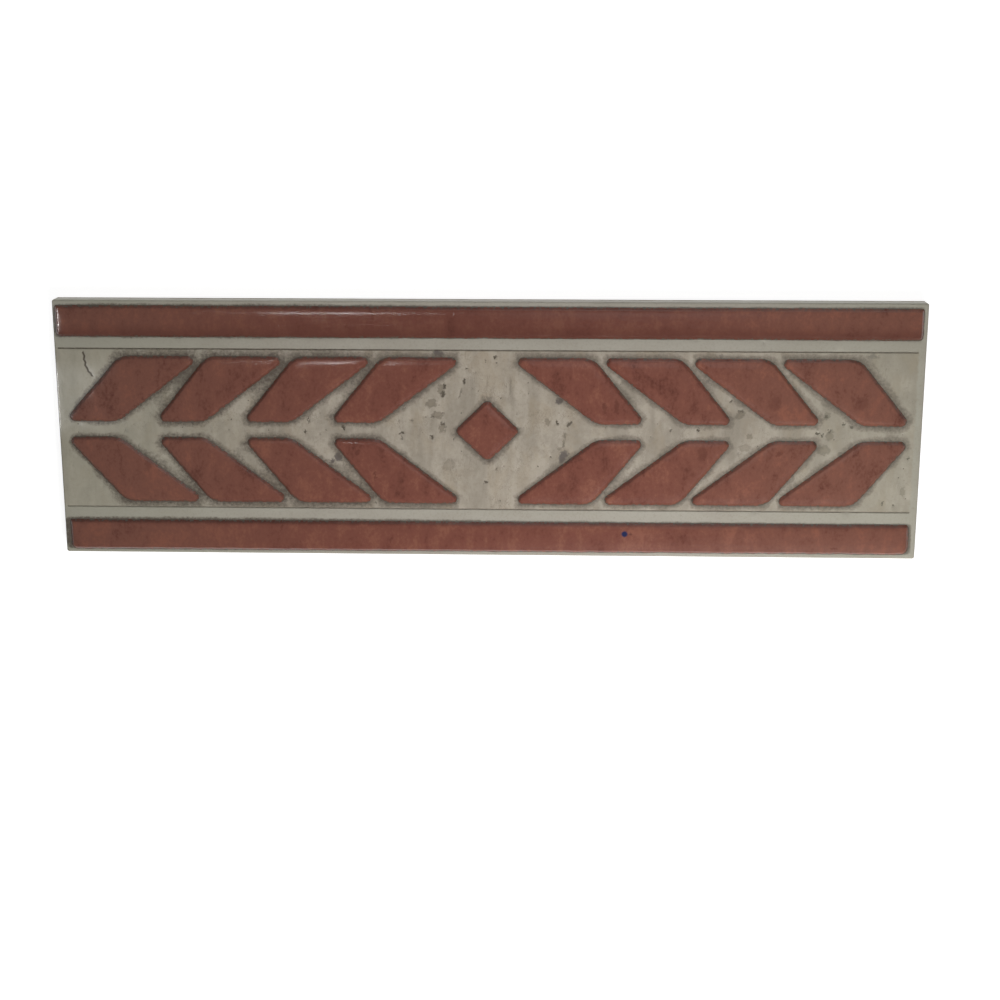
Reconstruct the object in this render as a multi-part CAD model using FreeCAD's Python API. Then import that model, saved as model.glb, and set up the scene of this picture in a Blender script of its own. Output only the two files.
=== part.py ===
"""Glazed ceramic border tile: one pressed and fired piece. Its face has two raised bars along
the long edges and, between two scored lines, a chevron of raised leaf pads that runs both ways
from a centre diamond. Its back has shallow channels that key into the adhesive."""

import FreeCAD, Part
import math
import os

# Tile body, in millimetres: X along the tile, Y across it, Z from the back to the face
tile_length = 333.0
tile_width = 100.0
body_thickness = 7.5
plan_corner_radius = 0.9
face_arris_radius = 0.8
back_arris_chamfer = 0.8

# Raised work: how far it stands above the face, and the round of its shoulders
relief_height = 1.2
shoulder_radius = 2.0

# Bars along the two long edges
bar_width = 11.7
bar_side_margin = 2.1
bar_end_margin = 2.3
bar_corner_radius = 1.8

# Scored lines, each one plain strip away from its bar
strip_width = 4.9
scored_line_width = 0.8
scored_line_depth = 0.4
scored_line_end_margin = 2.4

# Leaf pads, measured on the sharp corners before they are rounded
leaf_pitch = 33.7
leaf_tip_from_centre = 7.3
leaf_upper_edge = 32.8
leaf_lower_edge = 19.8
leaf_lean = 34.8
leaf_gap_at_axis = 3.2
leaf_gap_at_line = 2.5
leaf_end_clearance = 2.0
leaf_tip_radius = 2.4
leaf_bend_radius = 10.0

# Centre diamond, measured across its sharp corners
diamond_length = 24.6
diamond_width = 23.8
diamond_corner_radius = 1.6

# Channels in the back
channel_width = 8.0
channel_pitch = 15.0
channel_depth = 0.7
channel_end_margin = 12.0
channel_side_margin = 6.0

# Places worked out from the sizes above
half_length = tile_length / 2
half_width = tile_width / 2
bar_outer_y = half_width - bar_side_margin
bar_inner_y = bar_outer_y - bar_width
scored_line_y = bar_inner_y - strip_width
leaf_top_y = scored_line_y - leaf_gap_at_line
leaf_reach = leaf_tip_from_centre + leaf_lean + leaf_lower_edge
leaf_room = half_length - leaf_end_clearance - leaf_reach
leaves_per_arm = 1 + math.floor(leaf_room / leaf_pitch)
channel_span = tile_width - 2 * channel_side_margin
channel_count = 1 + math.floor((channel_span - channel_width) / channel_pitch)

# A shoulder stays a little tighter than the tightest plan corner that it goes round
SHOULDER_SHARE = 0.95
UP = FreeCAD.Vector(0, 0, 1)


def rounded_outline(corners, radii):
    """A closed wire of straight sides through (x, y) corners, each rounded by its own radius."""
    points = [FreeCAD.Vector(x, y, 0) for x, y in corners]
    arcs = []
    for i, corner in enumerate(points):
        to_last = (points[i - 1] - corner).normalize()
        to_next = (points[(i + 1) % len(points)] - corner).normalize()
        half_angle = to_last.getAngle(to_next) / 2
        setback = radii[i] / math.tan(half_angle)
        inset = radii[i] / math.sin(half_angle) - radii[i]
        middle = corner + (to_last + to_next).normalize() * inset
        arcs.append((corner + to_last * setback, middle, corner + to_next * setback))
    edges = []
    for i, arc in enumerate(arcs):
        edges.append(Part.Arc(*arc).toShape())
        edges.append(Part.LineSegment(arc[2], arcs[(i + 1) % len(arcs)][0]).toShape())
    return Part.Wire(edges)


def rectangle(low_x, high_x, low_y, high_y):
    """The four corners of a rectangle, in order."""
    return [(low_x, low_y), (high_x, low_y), (high_x, high_y), (low_x, high_y)]


def prism(outline, low_z, high_z):
    """A wire in the XY plane made a solid between two heights."""
    solid = Part.Face(outline).extrude(UP * (high_z - low_z))
    solid.translate(UP * low_z)
    return solid


def edges_at(solid, height):
    """The edges of a solid that lie flat at one height."""
    tolerance = 1e-6
    return [
        edge
        for edge in solid.Edges
        if abs(edge.BoundBox.ZMin - height) < tolerance
        and abs(edge.BoundBox.ZMax - height) < tolerance
    ]


def raised_pad(corners, radii):
    """One raised form with round shoulders. Its root reaches into the body, to be fused there."""
    shoulder = min(shoulder_radius, SHOULDER_SHARE * min(radii))
    top = body_thickness + relief_height
    pad = prism(rounded_outline(corners, radii), body_thickness - shoulder, top)
    return pad.makeFillet(shoulder, edges_at(pad, top))


def tile_blank():
    """The slab, with its plan corners and face edge rounded and its back edge chamfered."""
    corners = rectangle(-half_length, half_length, -half_width, half_width)
    outline = rounded_outline(corners, [plan_corner_radius] * 4)
    slab = prism(outline, 0, body_thickness)
    slab = slab.makeFillet(face_arris_radius, edges_at(slab, body_thickness))
    return slab.makeChamfer(back_arris_chamfer, edges_at(slab, 0))


def edge_bars():
    """The two bars, each a mirror of the other across the tile's long axis."""
    end = half_length - bar_end_margin
    bars = []
    for side in (1, -1):
        corners = rectangle(-end, end, side * bar_inner_y, side * bar_outer_y)
        bars.append(raised_pad(corners, [bar_corner_radius] * 4))
    return bars


def leaf_pads():
    """The leaf pads: four arms that mirror each other, each a row at one pitch."""
    radii = [leaf_tip_radius, leaf_bend_radius, leaf_tip_radius, leaf_bend_radius]
    pads = []
    for index in range(leaves_per_arm):
        upper_x = leaf_tip_from_centre + index * leaf_pitch
        lower_x = upper_x + leaf_lean
        corners = [
            (upper_x, leaf_top_y),
            (upper_x + leaf_upper_edge, leaf_top_y),
            (lower_x + leaf_lower_edge, leaf_gap_at_axis),
            (lower_x, leaf_gap_at_axis),
        ]
        for side_x in (1, -1):
            for side_y in (1, -1):
                mirrored = [(side_x * x, side_y * y) for x, y in corners]
                pads.append(raised_pad(mirrored, radii))
    return pads


def centre_diamond():
    """The diamond at the middle of the pattern."""
    reach_x = diamond_length / 2
    reach_y = diamond_width / 2
    corners = [(reach_x, 0), (0, reach_y), (-reach_x, 0), (0, -reach_y)]
    return raised_pad(corners, [diamond_corner_radius] * 4)


def scored_lines():
    """V-shaped cutters for the two lines beside the field."""
    end = half_length - scored_line_end_margin
    bottom = body_thickness - scored_line_depth
    cutters = []
    for y in (scored_line_y, -scored_line_y):
        section = Part.makePolygon(
            [
                FreeCAD.Vector(-end, y - scored_line_width / 2, body_thickness),
                FreeCAD.Vector(-end, y, bottom),
                FreeCAD.Vector(-end, y + scored_line_width / 2, body_thickness),
                FreeCAD.Vector(-end, y - scored_line_width / 2, body_thickness),
            ]
        )
        cutters.append(Part.Face(section).extrude(FreeCAD.Vector(2 * end, 0, 0)))
    return cutters


def back_channels():
    """Round-ended cutters for the channels in the back."""
    end = half_length - channel_end_margin
    half_channel = channel_width / 2
    cutters = []
    for index in range(channel_count):
        y = (index - (channel_count - 1) / 2) * channel_pitch
        straight = end - half_channel
        ends = [FreeCAD.Vector(side * straight, y, 0) for side in (-1, 1)]
        slot = Part.makeBox(
            2 * straight, channel_width, channel_depth,
            FreeCAD.Vector(-straight, y - half_channel, 0),
        )
        rounds = [Part.makeCylinder(half_channel, channel_depth, at) for at in ends]
        cutters.append(slot.multiFuse(rounds).removeSplitter())
    return cutters


def border_tile():
    """The whole tile as one solid."""
    blank = tile_blank().cut(scored_lines() + back_channels())
    raised = edge_bars() + leaf_pads() + [centre_diamond()]
    return blank.multiFuse(raised).removeSplitter()


tile = border_tile()
os.makedirs("parts", exist_ok=True)
tile.Solids[0].exportStep("parts/border_tile.step")
print("solids", len(tile.Solids), "valid", tile.isValid(), "volume", round(tile.Volume, 1))
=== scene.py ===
"""Glazed border tile, dressed for its picture.

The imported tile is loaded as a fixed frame. Each operator makes one visible piece round it: the
cream body, the two edge bars, the leaf pads and the centre diamond. A last one sets the stage.
"""

import functools
import math
import random
from collections import namedtuple

import bmesh
import bpy
from bpy.props import FloatProperty, FloatVectorProperty, IntProperty, PointerProperty
from mathutils import Matrix, Vector, noise
from mathutils.geometry import delaunay_2d_cdt
from mathutils.kdtree import KDTree


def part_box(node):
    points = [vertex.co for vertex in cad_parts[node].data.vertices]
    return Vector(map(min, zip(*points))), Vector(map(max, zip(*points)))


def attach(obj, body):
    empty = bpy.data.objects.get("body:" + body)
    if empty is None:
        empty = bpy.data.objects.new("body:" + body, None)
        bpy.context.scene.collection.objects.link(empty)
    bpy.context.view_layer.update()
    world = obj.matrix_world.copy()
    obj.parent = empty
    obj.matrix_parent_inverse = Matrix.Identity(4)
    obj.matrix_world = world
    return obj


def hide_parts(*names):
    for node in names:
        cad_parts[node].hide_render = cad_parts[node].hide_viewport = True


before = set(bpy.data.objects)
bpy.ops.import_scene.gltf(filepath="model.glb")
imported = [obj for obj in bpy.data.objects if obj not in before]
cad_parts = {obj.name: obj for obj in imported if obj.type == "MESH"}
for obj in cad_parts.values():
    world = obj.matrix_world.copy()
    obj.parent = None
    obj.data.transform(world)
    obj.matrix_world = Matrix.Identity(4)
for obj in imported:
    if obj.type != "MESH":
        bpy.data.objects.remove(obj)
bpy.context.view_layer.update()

bl_info = {
    "name": "Glazed border tile",
    "version": (1, 0, 0),
    "blender": (4, 5, 0),
    "location": "View3D > Sidebar > Border Tile",
    "description": "Makes a pressed border tile with raised bars, leaf pads and a centre diamond",
    "category": "Add Mesh",
}

MM = 0.001
TILE_NODE = "border_tile"
TILE_BODY = "root"
TILE_LOW, TILE_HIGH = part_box(TILE_NODE)
FACE_SEED = 11

# Shares of the way to the tile's left end between which the leaves run out further
FAR_LEFT_FROM, FAR_LEFT_TO = 0.98, 0.84

# Lamps that light the tile, lamps that only show in its gloss, and the camera's sensor in millimetres
LIGHTING_LAMPS = ("key_lamp", "fill_lamp")
GLOSS_LAMPS = ("streak_lamp", "bar_glint_lamp", "tip_glint_lamp", "sheen_panel", "back_panel")
SENSOR_WIDTH = 36.0

# Marks on the face, listed one by one in millimetres; turn is the long side's angle in degrees
Mark = namedtuple("Mark", "x y length width turn strength", defaults=(1.0,))

PITS = (
    Mark(-16.6, 17.4, 2.9, 1.0, 85),
    Mark(-17.2, 13.9, 2.4, 1.7, 75),
    Mark(-21.0, 5.3, 1.2, 0.8, 20, 0.8),
    Mark(-16.9, 6.9, 1.0, 0.8, 0, 0.8),
    Mark(-17.1, 2.9, 1.7, 0.9, 60, 0.8),
    Mark(-21.5, -2.5, 1.9, 1.3, 10),
    Mark(-23.6, 5.4, 1.0, 0.7, 50, 0.5),
    Mark(-8.9, 19.6, 2.6, 1.1, 70),
    Mark(-10.7, 14.4, 4.8, 0.7, 80, 0.5),
    Mark(-7.6, 24.4, 1.1, 0.8, 20, 0.9),
    Mark(-4.9, 22.6, 0.9, 0.7, 0, 0.4),
    Mark(-5.8, 16.2, 1.0, 0.6, 60, 0.4),
    Mark(-0.7, 27.4, 0.9, 0.7, 0, 0.8),
    Mark(3.0, 28.6, 1.7, 1.1, 75),
    Mark(3.6, 26.5, 1.0, 0.8, 0, 0.9),
    Mark(8.6, 17.2, 8.0, 1.0, 88, 0.25),
    Mark(-33.0, -1.1, 1.8, 1.4, 70),
    Mark(-33.0, -3.1, 1.6, 0.5, 88, 0.7),
    Mark(-34.1, 4.0, 1.2, 0.7, 70, 0.4),
    Mark(-29.4, 4.0, 1.3, 0.8, 30, 0.5),
    Mark(24.2, -10.1, 1.0, 0.8, 60, 0.9),
    Mark(-0.3, -20.5, 2.0, 1.3, 15),
    Mark(3.4, -14.7, 1.0, 0.7, 50, 0.5),
    Mark(26.9, 3.3, 2.8, 0.9, 115),
    Mark(31.4, 2.9, 3.0, 1.6, 35, 0.9),
    Mark(70.3, 0.7, 1.1, 0.8, 0, 0.7),
    Mark(80.8, 0.6, 1.6, 1.1, 65),
    Mark(93.6, 12.0, 1.6, 1.1, 60),
    Mark(97.0, 8.2, 2.4, 0.9, 10, 0.8),
    Mark(96.7, -8.6, 1.4, 0.8, 60, 0.5),
    Mark(129.6, 6.4, 1.6, 1.1, 30),
    Mark(126.7, -0.1, 2.0, 0.8, 0),
    Mark(128.6, -1.0, 2.0, 0.8, 120),
    Mark(131.4, 0.5, 1.5, 0.9, 60),
    Mark(136.4, 3.3, 1.2, 0.9, 70),
    Mark(139.2, 2.6, 1.8, 1.0, 100),
    Mark(153.1, -27.5, 2.2, 1.1, 75),
    Mark(157.4, -28.3, 1.2, 0.9, 0),
    Mark(161.9, -9.7, 1.4, 0.9, 70),
    Mark(148.6, 29.6, 1.2, 0.9, 0, 0.6),
    Mark(-68.9, 3.8, 2.6, 0.9, 86),
    Mark(-70.6, -1.0, 1.8, 0.9, 75),
    Mark(-55.8, 0.7, 2.2, 1.2, 125),
    Mark(-64.8, -1.7, 1.0, 0.7, 30, 0.4),
    Mark(-140.8, -0.7, 2.2, 0.8, 86, 0.5),
    Mark(-136.0, -7.0, 1.6, 0.7, 80, 0.4),
    Mark(-100.5, -0.4, 0.9, 0.7, 0, 0.4),
    Mark(104.9, 34.9, 0.8, 0.7, 0, 0.8),
)

# Holes in the stone that the print shows filled, a little darker than the rest
FILLED_HOLES = (
    Mark(-18.0, 16.0, 4.8, 2.2, 88),
    Mark(-21.6, 10.6, 4.2, 3.8, 30),
    Mark(-19.3, 5.9, 4.8, 3.0, 10),
    Mark(-17.2, 0.8, 4.2, 2.5, 88),
    Mark(-15.1, -13.7, 5.0, 4.6, 20, 0.6),
    Mark(23.3, 3.5, 3.0, 1.9, 85, 0.9),
    Mark(30.0, -2.0, 2.0, 1.4, 70, 0.9),
    Mark(29.6, -5.2, 3.0, 1.1, 85, 0.9),
    Mark(28.0, -7.2, 2.2, 1.5, 20, 0.8),
    Mark(97.2, 6.8, 3.6, 3.0, 20),
    Mark(99.2, -5.9, 4.6, 3.0, 10, 0.6),
    Mark(101.0, -1.6, 2.4, 2.3, 60, 0.9),
    Mark(129.9, 6.7, 3.0, 2.6, 80),
    Mark(131.5, -1.1, 3.9, 2.6, 85),
    Mark(129.2, -6.7, 5.7, 3.8, 5),
    Mark(160.6, -23.1, 4.2, 2.4, 85, 0.9),
    Mark(-115.1, -35.6, 2.4, 1.0, 20, 0.6),
)

# Grey filled holes and stains in the print, and two long marks of painted shade in leaf gaps
GREY_BLOTCHES = (
    Mark(-18.7, 30.1, 5.4, 2.6, 5),
    Mark(27.7, 12.0, 3.6, 2.8, 50),
    Mark(29.2, -10.3, 6.0, 3.8, 65),
    Mark(89.3, 29.3, 2.2, 1.9, 0, 0.6),
    Mark(84.2, 19.7, 2.2, 1.9, 0, 0.6),
    Mark(146.3, 29.6, 2.6, 2.0, 0, 0.7),
    Mark(-82.7, 29.2, 3.4, 2.2, 10, 0.7),
    # The next two are painted shade in the gaps between the upper left leaves
    Mark(-116.6, 21.6, 15.0, 4.0, 52, 0.45),
    Mark(-82.2, 23.2, 13.0, 3.6, 52, 0.45),
    Mark(-58.0, -10.8, 4.0, 3.6, 80),
    Mark(-60.4, -12.8, 2.4, 1.6, 40),
)

# Hairline cracks through the face: how dark each is, and a few (x, y) places in millimetres
CRACKS = (
    (1.0, (
        (-155.2, 30.8), (-155.5, 29.6), (-155.0, 28.3), (-155.3, 27.0), (-154.7, 25.8),
        (-154.9, 24.7), (-154.1, 23.4), (-153.8, 22.3), (-152.9, 21.5), (-152.5, 20.6),
        (-151.6, 20.1),
    )),
    (0.3, ((0.1, 23.0), (-0.1, 18.8), (0.2, 14.0))),
    (0.6, ((-12.3, -2.2), (-13.0, -3.4), (-13.1, -5.0))),
    (0.6, ((-49.4, -19.8), (-49.2, -21.4), (-49.6, -22.9))),
    (0.6, ((-44.0, -27.4), (-43.6, -29.0), (-42.8, -30.4))),
    (0.3, ((29.9, 2.0), (29.4, -0.6), (30.2, -3.2), (29.2, -6.0), (27.9, -7.4))),
)

# Dark smears fired into the red glaze
SMEARS = (
    Mark(-44.0, 45.4, 5.2, 1.2, 112),
    Mark(-53.2, 40.0, 3.6, 0.9, 115),
    Mark(-65.8, 47.0, 3.2, 1.2, 10),
    Mark(-50.2, -8.8, 3.6, 1.6, 70),
    Mark(-43.7, -17.9, 4.6, 0.7, 88),
    Mark(-37.6, -43.7, 3.2, 0.7, 86),
    Mark(-80.6, -39.1, 3.0, 0.5, 80),
    Mark(82.7, -8.3, 7.0, 3.8, 90, 0.8),
    Mark(112.4, -7.8, 4.0, 2.5, 30, 0.8),
    Mark(110.1, 11.6, 6.5, 5.0, 60, 0.6),
    Mark(143.0, 11.8, 6.0, 5.0, 60, 0.6),
    Mark(60.8, -15.8, 3.6, 1.2, 84),
    Mark(44.9, 9.0, 5.0, 1.9, 95),
    Mark(49.6, 9.6, 6.4, 1.9, 92),
    Mark(40.7, 17.8, 1.0, 0.8, 0, 0.9),
    Mark(29.0, -22.0, 4.4, 3.2, 20, 0.6),
    Mark(-132.0, -13.0, 8.0, 3.0, 86, 0.5),
    Mark(-99.0, -8.0, 5.0, 4.0, 40, 0.5),
    Mark(134.9, -45.7, 3.0, 1.2, 0),
)
INK_SPOT = Mark(53.5, -40.6, 2.6, 2.6, 0)
INK_DOT = Mark(55.9, -40.7, 1.3, 0.9, 0, 0.5)


def length(name, millimetres, description):
    """A size that a user may change, written here in millimetres."""
    return FloatProperty(
        name=name, description=description, default=millimetres * MM, min=0.0,
        precision=5, unit="LENGTH",
    )


def place(name, millimetres, description):
    """A point that a user may move, written here in millimetres."""
    return FloatVectorProperty(
        name=name, description=description, default=[value * MM for value in millimetres],
        size=3, precision=4, subtype="TRANSLATION", unit="LENGTH",
    )


def colour(name, red, green, blue, description):
    """A colour that a user may change, as linear light."""
    return FloatVectorProperty(
        name=name, description=description, default=(red, green, blue),
        size=3, min=0.0, max=1.0, subtype="COLOR",
    )


def power(name, watts, description):
    """A lamp's power that a user may change."""
    return FloatProperty(name=name, description=description, default=watts, unit="POWER")


def beam(name, degrees, description):
    """The width of a lamp's beam that a user may change, written here in degrees."""
    return FloatProperty(
        name=name, description=description, default=math.radians(degrees), subtype="ANGLE",
    )


def lens(name, millimetres, description):
    """A focal length that a user may change, in millimetres."""
    return FloatProperty(name=name, description=description, default=millimetres, unit="CAMERA")


def level(name, value, description):
    """A level from none to full that a user may change."""
    return FloatProperty(
        name=name, description=description, default=value, min=0.0, max=1.0, subtype="FACTOR",
    )


def how_many(name, number, description, fewest=0):
    """How many there are of something, which a user may change."""
    return IntProperty(name=name, description=description, default=number, min=fewest)


class TileSizes(bpy.types.PropertyGroup):
    """The slab under the raised work."""

    length: length("Length", (TILE_HIGH.x - TILE_LOW.x) / MM, "Along the tile")
    width: length("Width", (TILE_HIGH.y - TILE_LOW.y) / MM, "Across the tile")
    relief: length("Relief", 1.2, "How far the raised work stands above the face")
    plan_corner: length("Plan corner", 0.9, "Round of the four corners seen from above")
    face_arris: length("Face arris", 0.8, "Round of the edge between face and sides")
    back_chamfer: length("Back chamfer", 0.8, "Chamfer between sides and back")
    strip_width: length("Strip width", 4.9, "Plain strip between a bar and its scored line")
    line_width: length("Line width", 0.8, "Width of a scored line")
    line_depth: length("Line depth", 0.35, "Depth of a scored line")
    line_left: length("Line left", 1.1, "From the scored lines' left ends to the tile's end")
    line_right: length("Line right", 2.9, "From the scored lines' right ends to the tile's end")
    waviness: length("Waviness", 0.06, "How uneven the pressed face is")
    pit_depth: length("Pit depth", 0.18, "Depth of the larger pits in the face")
    small_pits: how_many("Small pits", 60, "How many small pits the field has")
    channel_width: length("Channel width", 8.0, "Width of a channel in the back")
    channel_pitch: length("Channel pitch", 15.0, "From one channel to the next")
    channel_depth: length("Channel depth", 0.7, "Depth of a channel in the back")
    channel_end_margin: length("Channel end margin", 12.0, "From a channel's end to the tile's end")
    channels: how_many("Channels", 6, "How many channels the back has")


class ReliefSizes(bpy.types.PropertyGroup):
    """The raised bars, leaf pads and diamond."""

    foot: length("Foot", 0.5, "How far a pad's hollow foot runs out past its outline")
    root: length("Root", 0.1, "How far a pad's foot reaches into the face")
    shoulder: length("Shoulder", 1.15, "How far inside its outline a pad reaches its full height")
    crown: length("Crown", 0.13, "How much lower a pad's top is at its edge than at its middle")
    unevenness: length("Unevenness", 0.10, "How uneven a pad's glazed top is")
    wobble: length("Wobble", 0.3, "How far a pad's hand-laid outline strays")
    bar_width: length("Bar width", 11.7, "Across a bar")
    bar_side_margin: length("Bar side margin", 2.1, "From a bar to the tile's long edge")
    bar_end_margin: length("Bar end margin", 2.3, "From a bar to the tile's end")
    bar_corner: length("Bar corner", 1.8, "Plan round of a bar's corners")
    upper_bar_left: length("Upper bar left", 1.2, "From the upper bar's left end to the tile's end")
    upper_bar_right: length("Upper bar right", 1.9, "From the upper bar's right end to the tile's end")
    lower_bar_right: length("Lower bar right", 3.0, "From the lower bar's right end to the tile's end")
    leaf_pitch: length("Leaf pitch", 33.7, "From one leaf pad to the next")
    leaf_tip: length("Leaf tip", 8.5, "From the middle of the tile to the first leaf's tip")
    leaf_upper_edge: length("Leaf upper edge", 31.9, "Edge beside the scored line")
    leaf_lower_edge: length("Leaf lower edge", 19.0, "Edge beside the tile's long axis")
    leaf_lean: length("Leaf lean", 33.6, "How far the lower edge is set along the tile")
    leaf_axis_gap: length("Leaf axis gap", 3.2, "From the long axis to a leaf")
    leaf_line_gap: length("Leaf line gap", 2.65, "From a scored line to a leaf")
    leaf_tip_round: length("Leaf tip round", 1.8, "Plan round of a leaf's two tips")
    leaf_bend_round: length("Leaf bend round", 8.5, "Plan round of a leaf's two bends")
    left_reach: length("Left reach", 1.6, "How much longer the leaves at the left end are")
    set_low: length("Set low", 0.3, "How far the leaves sit too low; the rest sits half as low")
    lower_bar_drop: length("Lower bar drop", 0.4, "How much lower the lower bar's left end is")
    leaves: how_many("Leaves", 4, "Leaf pads in each of the four arms", 2)
    diamond_length: length("Diamond length", 24.9, "Corner to corner along the tile")
    diamond_width: length("Diamond width", 24.2, "Corner to corner across the tile")
    diamond_corner: length("Diamond corner", 1.7, "Plan round of the diamond's corners")
    diamond_low_corner: length("Diamond low corner", 2.8, "Plan round of its lower corner")


class GlazeColours(bpy.types.PropertyGroup):
    """Colours of the glazes and of the bare clay."""

    field_pale: colour("Field pale", 0.440, 0.387, 0.317, "Pale bands of the stone-look field")
    field_dark: colour("Field dark", 0.302, 0.264, 0.212, "Dark bands of the stone-look field")
    field_tan: colour("Field tan", 0.335, 0.274, 0.198, "Tan clouds in the field")
    field_fill: colour("Field fill", 0.215, 0.182, 0.136, "Filled holes in the field")
    # Field grey also paints the shade in two gaps between leaves
    field_grey: colour("Field grey", 0.122, 0.103, 0.092, "Grey filled holes")
    # Pit is also the painted shade in the scored lines
    pit: colour("Pit", 0.085, 0.070, 0.052, "Bottoms of pits, cracks and scored lines")
    # Halo colours the print's specks, veins and hole rims, and is also the painted shade round the
    # raised work
    speck_and_shade: colour("Halo", 0.103, 0.083, 0.064, "Sprayed shade round the raised work")
    # Dingy dulls the cream towards both ends; at the left end it is painted shade
    dull_ends: colour("Dingy", 0.345, 0.343, 0.262, "Grime over the cream at both ends")
    strip: colour("Strip", 0.405, 0.378, 0.320, "Plain strips and rim")
    red: colour("Red", 0.199, 0.0665, 0.0455, "Terracotta glaze")
    red_brown: colour("Red brown", 0.203, 0.081, 0.0555, "Terracotta glaze towards the tile's ends")
    # Red dark is also the painted shade towards the left end and over the upper bar
    red_dark: colour("Red dark", 0.098, 0.029, 0.019, "Where the terracotta glaze is thick")
    red_pale: colour("Red pale", 0.258, 0.096, 0.061, "Where the terracotta glaze is thin")
    # Foot is the painted shade at the foot of the raised work, and also the colour of the ink dot
    foot: colour("Foot", 0.058, 0.024, 0.018, "Dark line at the foot of the raised work")
    ink: colour("Ink", 0.012, 0.018, 0.070, "Blue spot on one bar")
    biscuit: colour("Biscuit", 0.420, 0.370, 0.300, "Bare fired clay")


class StageSettings(bpy.types.PropertyGroup):
    """Camera, lamps and floor."""

    camera_at: place("Camera", (26.5, 143.0, 674.4), "Where the camera stands")
    camera_aim: place("Aim", (4.93, -27.41, 8.0), "What the camera looks at")
    camera_lens: lens("Lens", 63.66, "Focal length on a 36 mm sensor")
    key_at: place("Key lamp", (112, -275, 325), "Soft main lamp above the lower right")
    key_size: length("Key lamp size", 250, "Side of the main lamp")
    key_power: power("Key lamp power", 1.75, "Power of the main lamp")
    fill_at: place("Fill lamp", (0, 700, 260), "Soft lamp that lights the upper side")
    fill_size: length("Fill lamp size", 400, "Side of the fill lamp")
    fill_power: power("Fill lamp power", 1.5, "Power of the fill lamp")
    streak_at: place("Streak lamp", (-202, 59, 1200), "Small lamp seen in the gloss of the upper side")
    streak_aim: place("Streak aim", (-62, 45, 8), "What the streak lamp looks at")
    streak_size: length("Streak lamp size", 40, "Side of the streak lamp")
    streak_power: power("Streak lamp power", 0.00036, "Power of the streak lamp")
    streak_beam: beam("Streak beam", 6, "Beam of the streak lamp")
    bar_glint_at: place("Bar glint lamp", (-230, 36, 90), "Lamp seen in the upper bar's left end")
    bar_glint_aim: place("Bar glint aim", (-166, 45, 8), "What the bar's glint lamp looks at")
    bar_glint_size: length("Bar glint size", 20, "Side of the bar's glint lamp")
    bar_glint_power: power("Bar glint power", 0.0003, "Power of the bar's glint lamp")
    bar_glint_beam: beam("Bar glint beam", 8, "Beam of the bar's glint lamp")
    tip_glint_at: place("Tip glint lamp", (-241, 0, 81), "Lamp seen in the left leaf's tip")
    tip_glint_aim: place("Tip glint aim", (-160, 12, 8), "What the tip's glint lamp looks at")
    tip_glint_size: length("Tip glint size", 24, "Side of the tip's glint lamp")
    tip_glint_power: power("Tip glint power", 0.003, "Power of the tip's glint lamp")
    tip_glint_beam: beam("Tip glint beam", 5, "Beam of the tip's glint lamp")
    sheen_at: place("Sheen panel", (100, 50, 1000), "Overhead panel seen in the right leaves")
    sheen_size: length("Sheen panel size", 240, "Side of the sheen panel")
    sheen_power: power("Sheen panel power", 0.07, "Power of the sheen panel")
    back_at: place("Back panel", (110, 500, 320), "Panel seen in the right leaves' shoulders")
    back_size: length("Back panel size", 380, "Side of the back panel")
    back_power: power("Back panel power", 0.22, "Power of the back panel")
    surround: level("Surround", 0.19, "Level of the even light from all round")
    floor_side: length("Floor side", 6000, "Side of the square floor")
    floor_grey: level("Floor grey", 0.5, "How much of the lamps' light the floor sends on")
    floor_glow: level("Floor glow", 0.85, "Level that makes the floor read as white paper")


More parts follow.
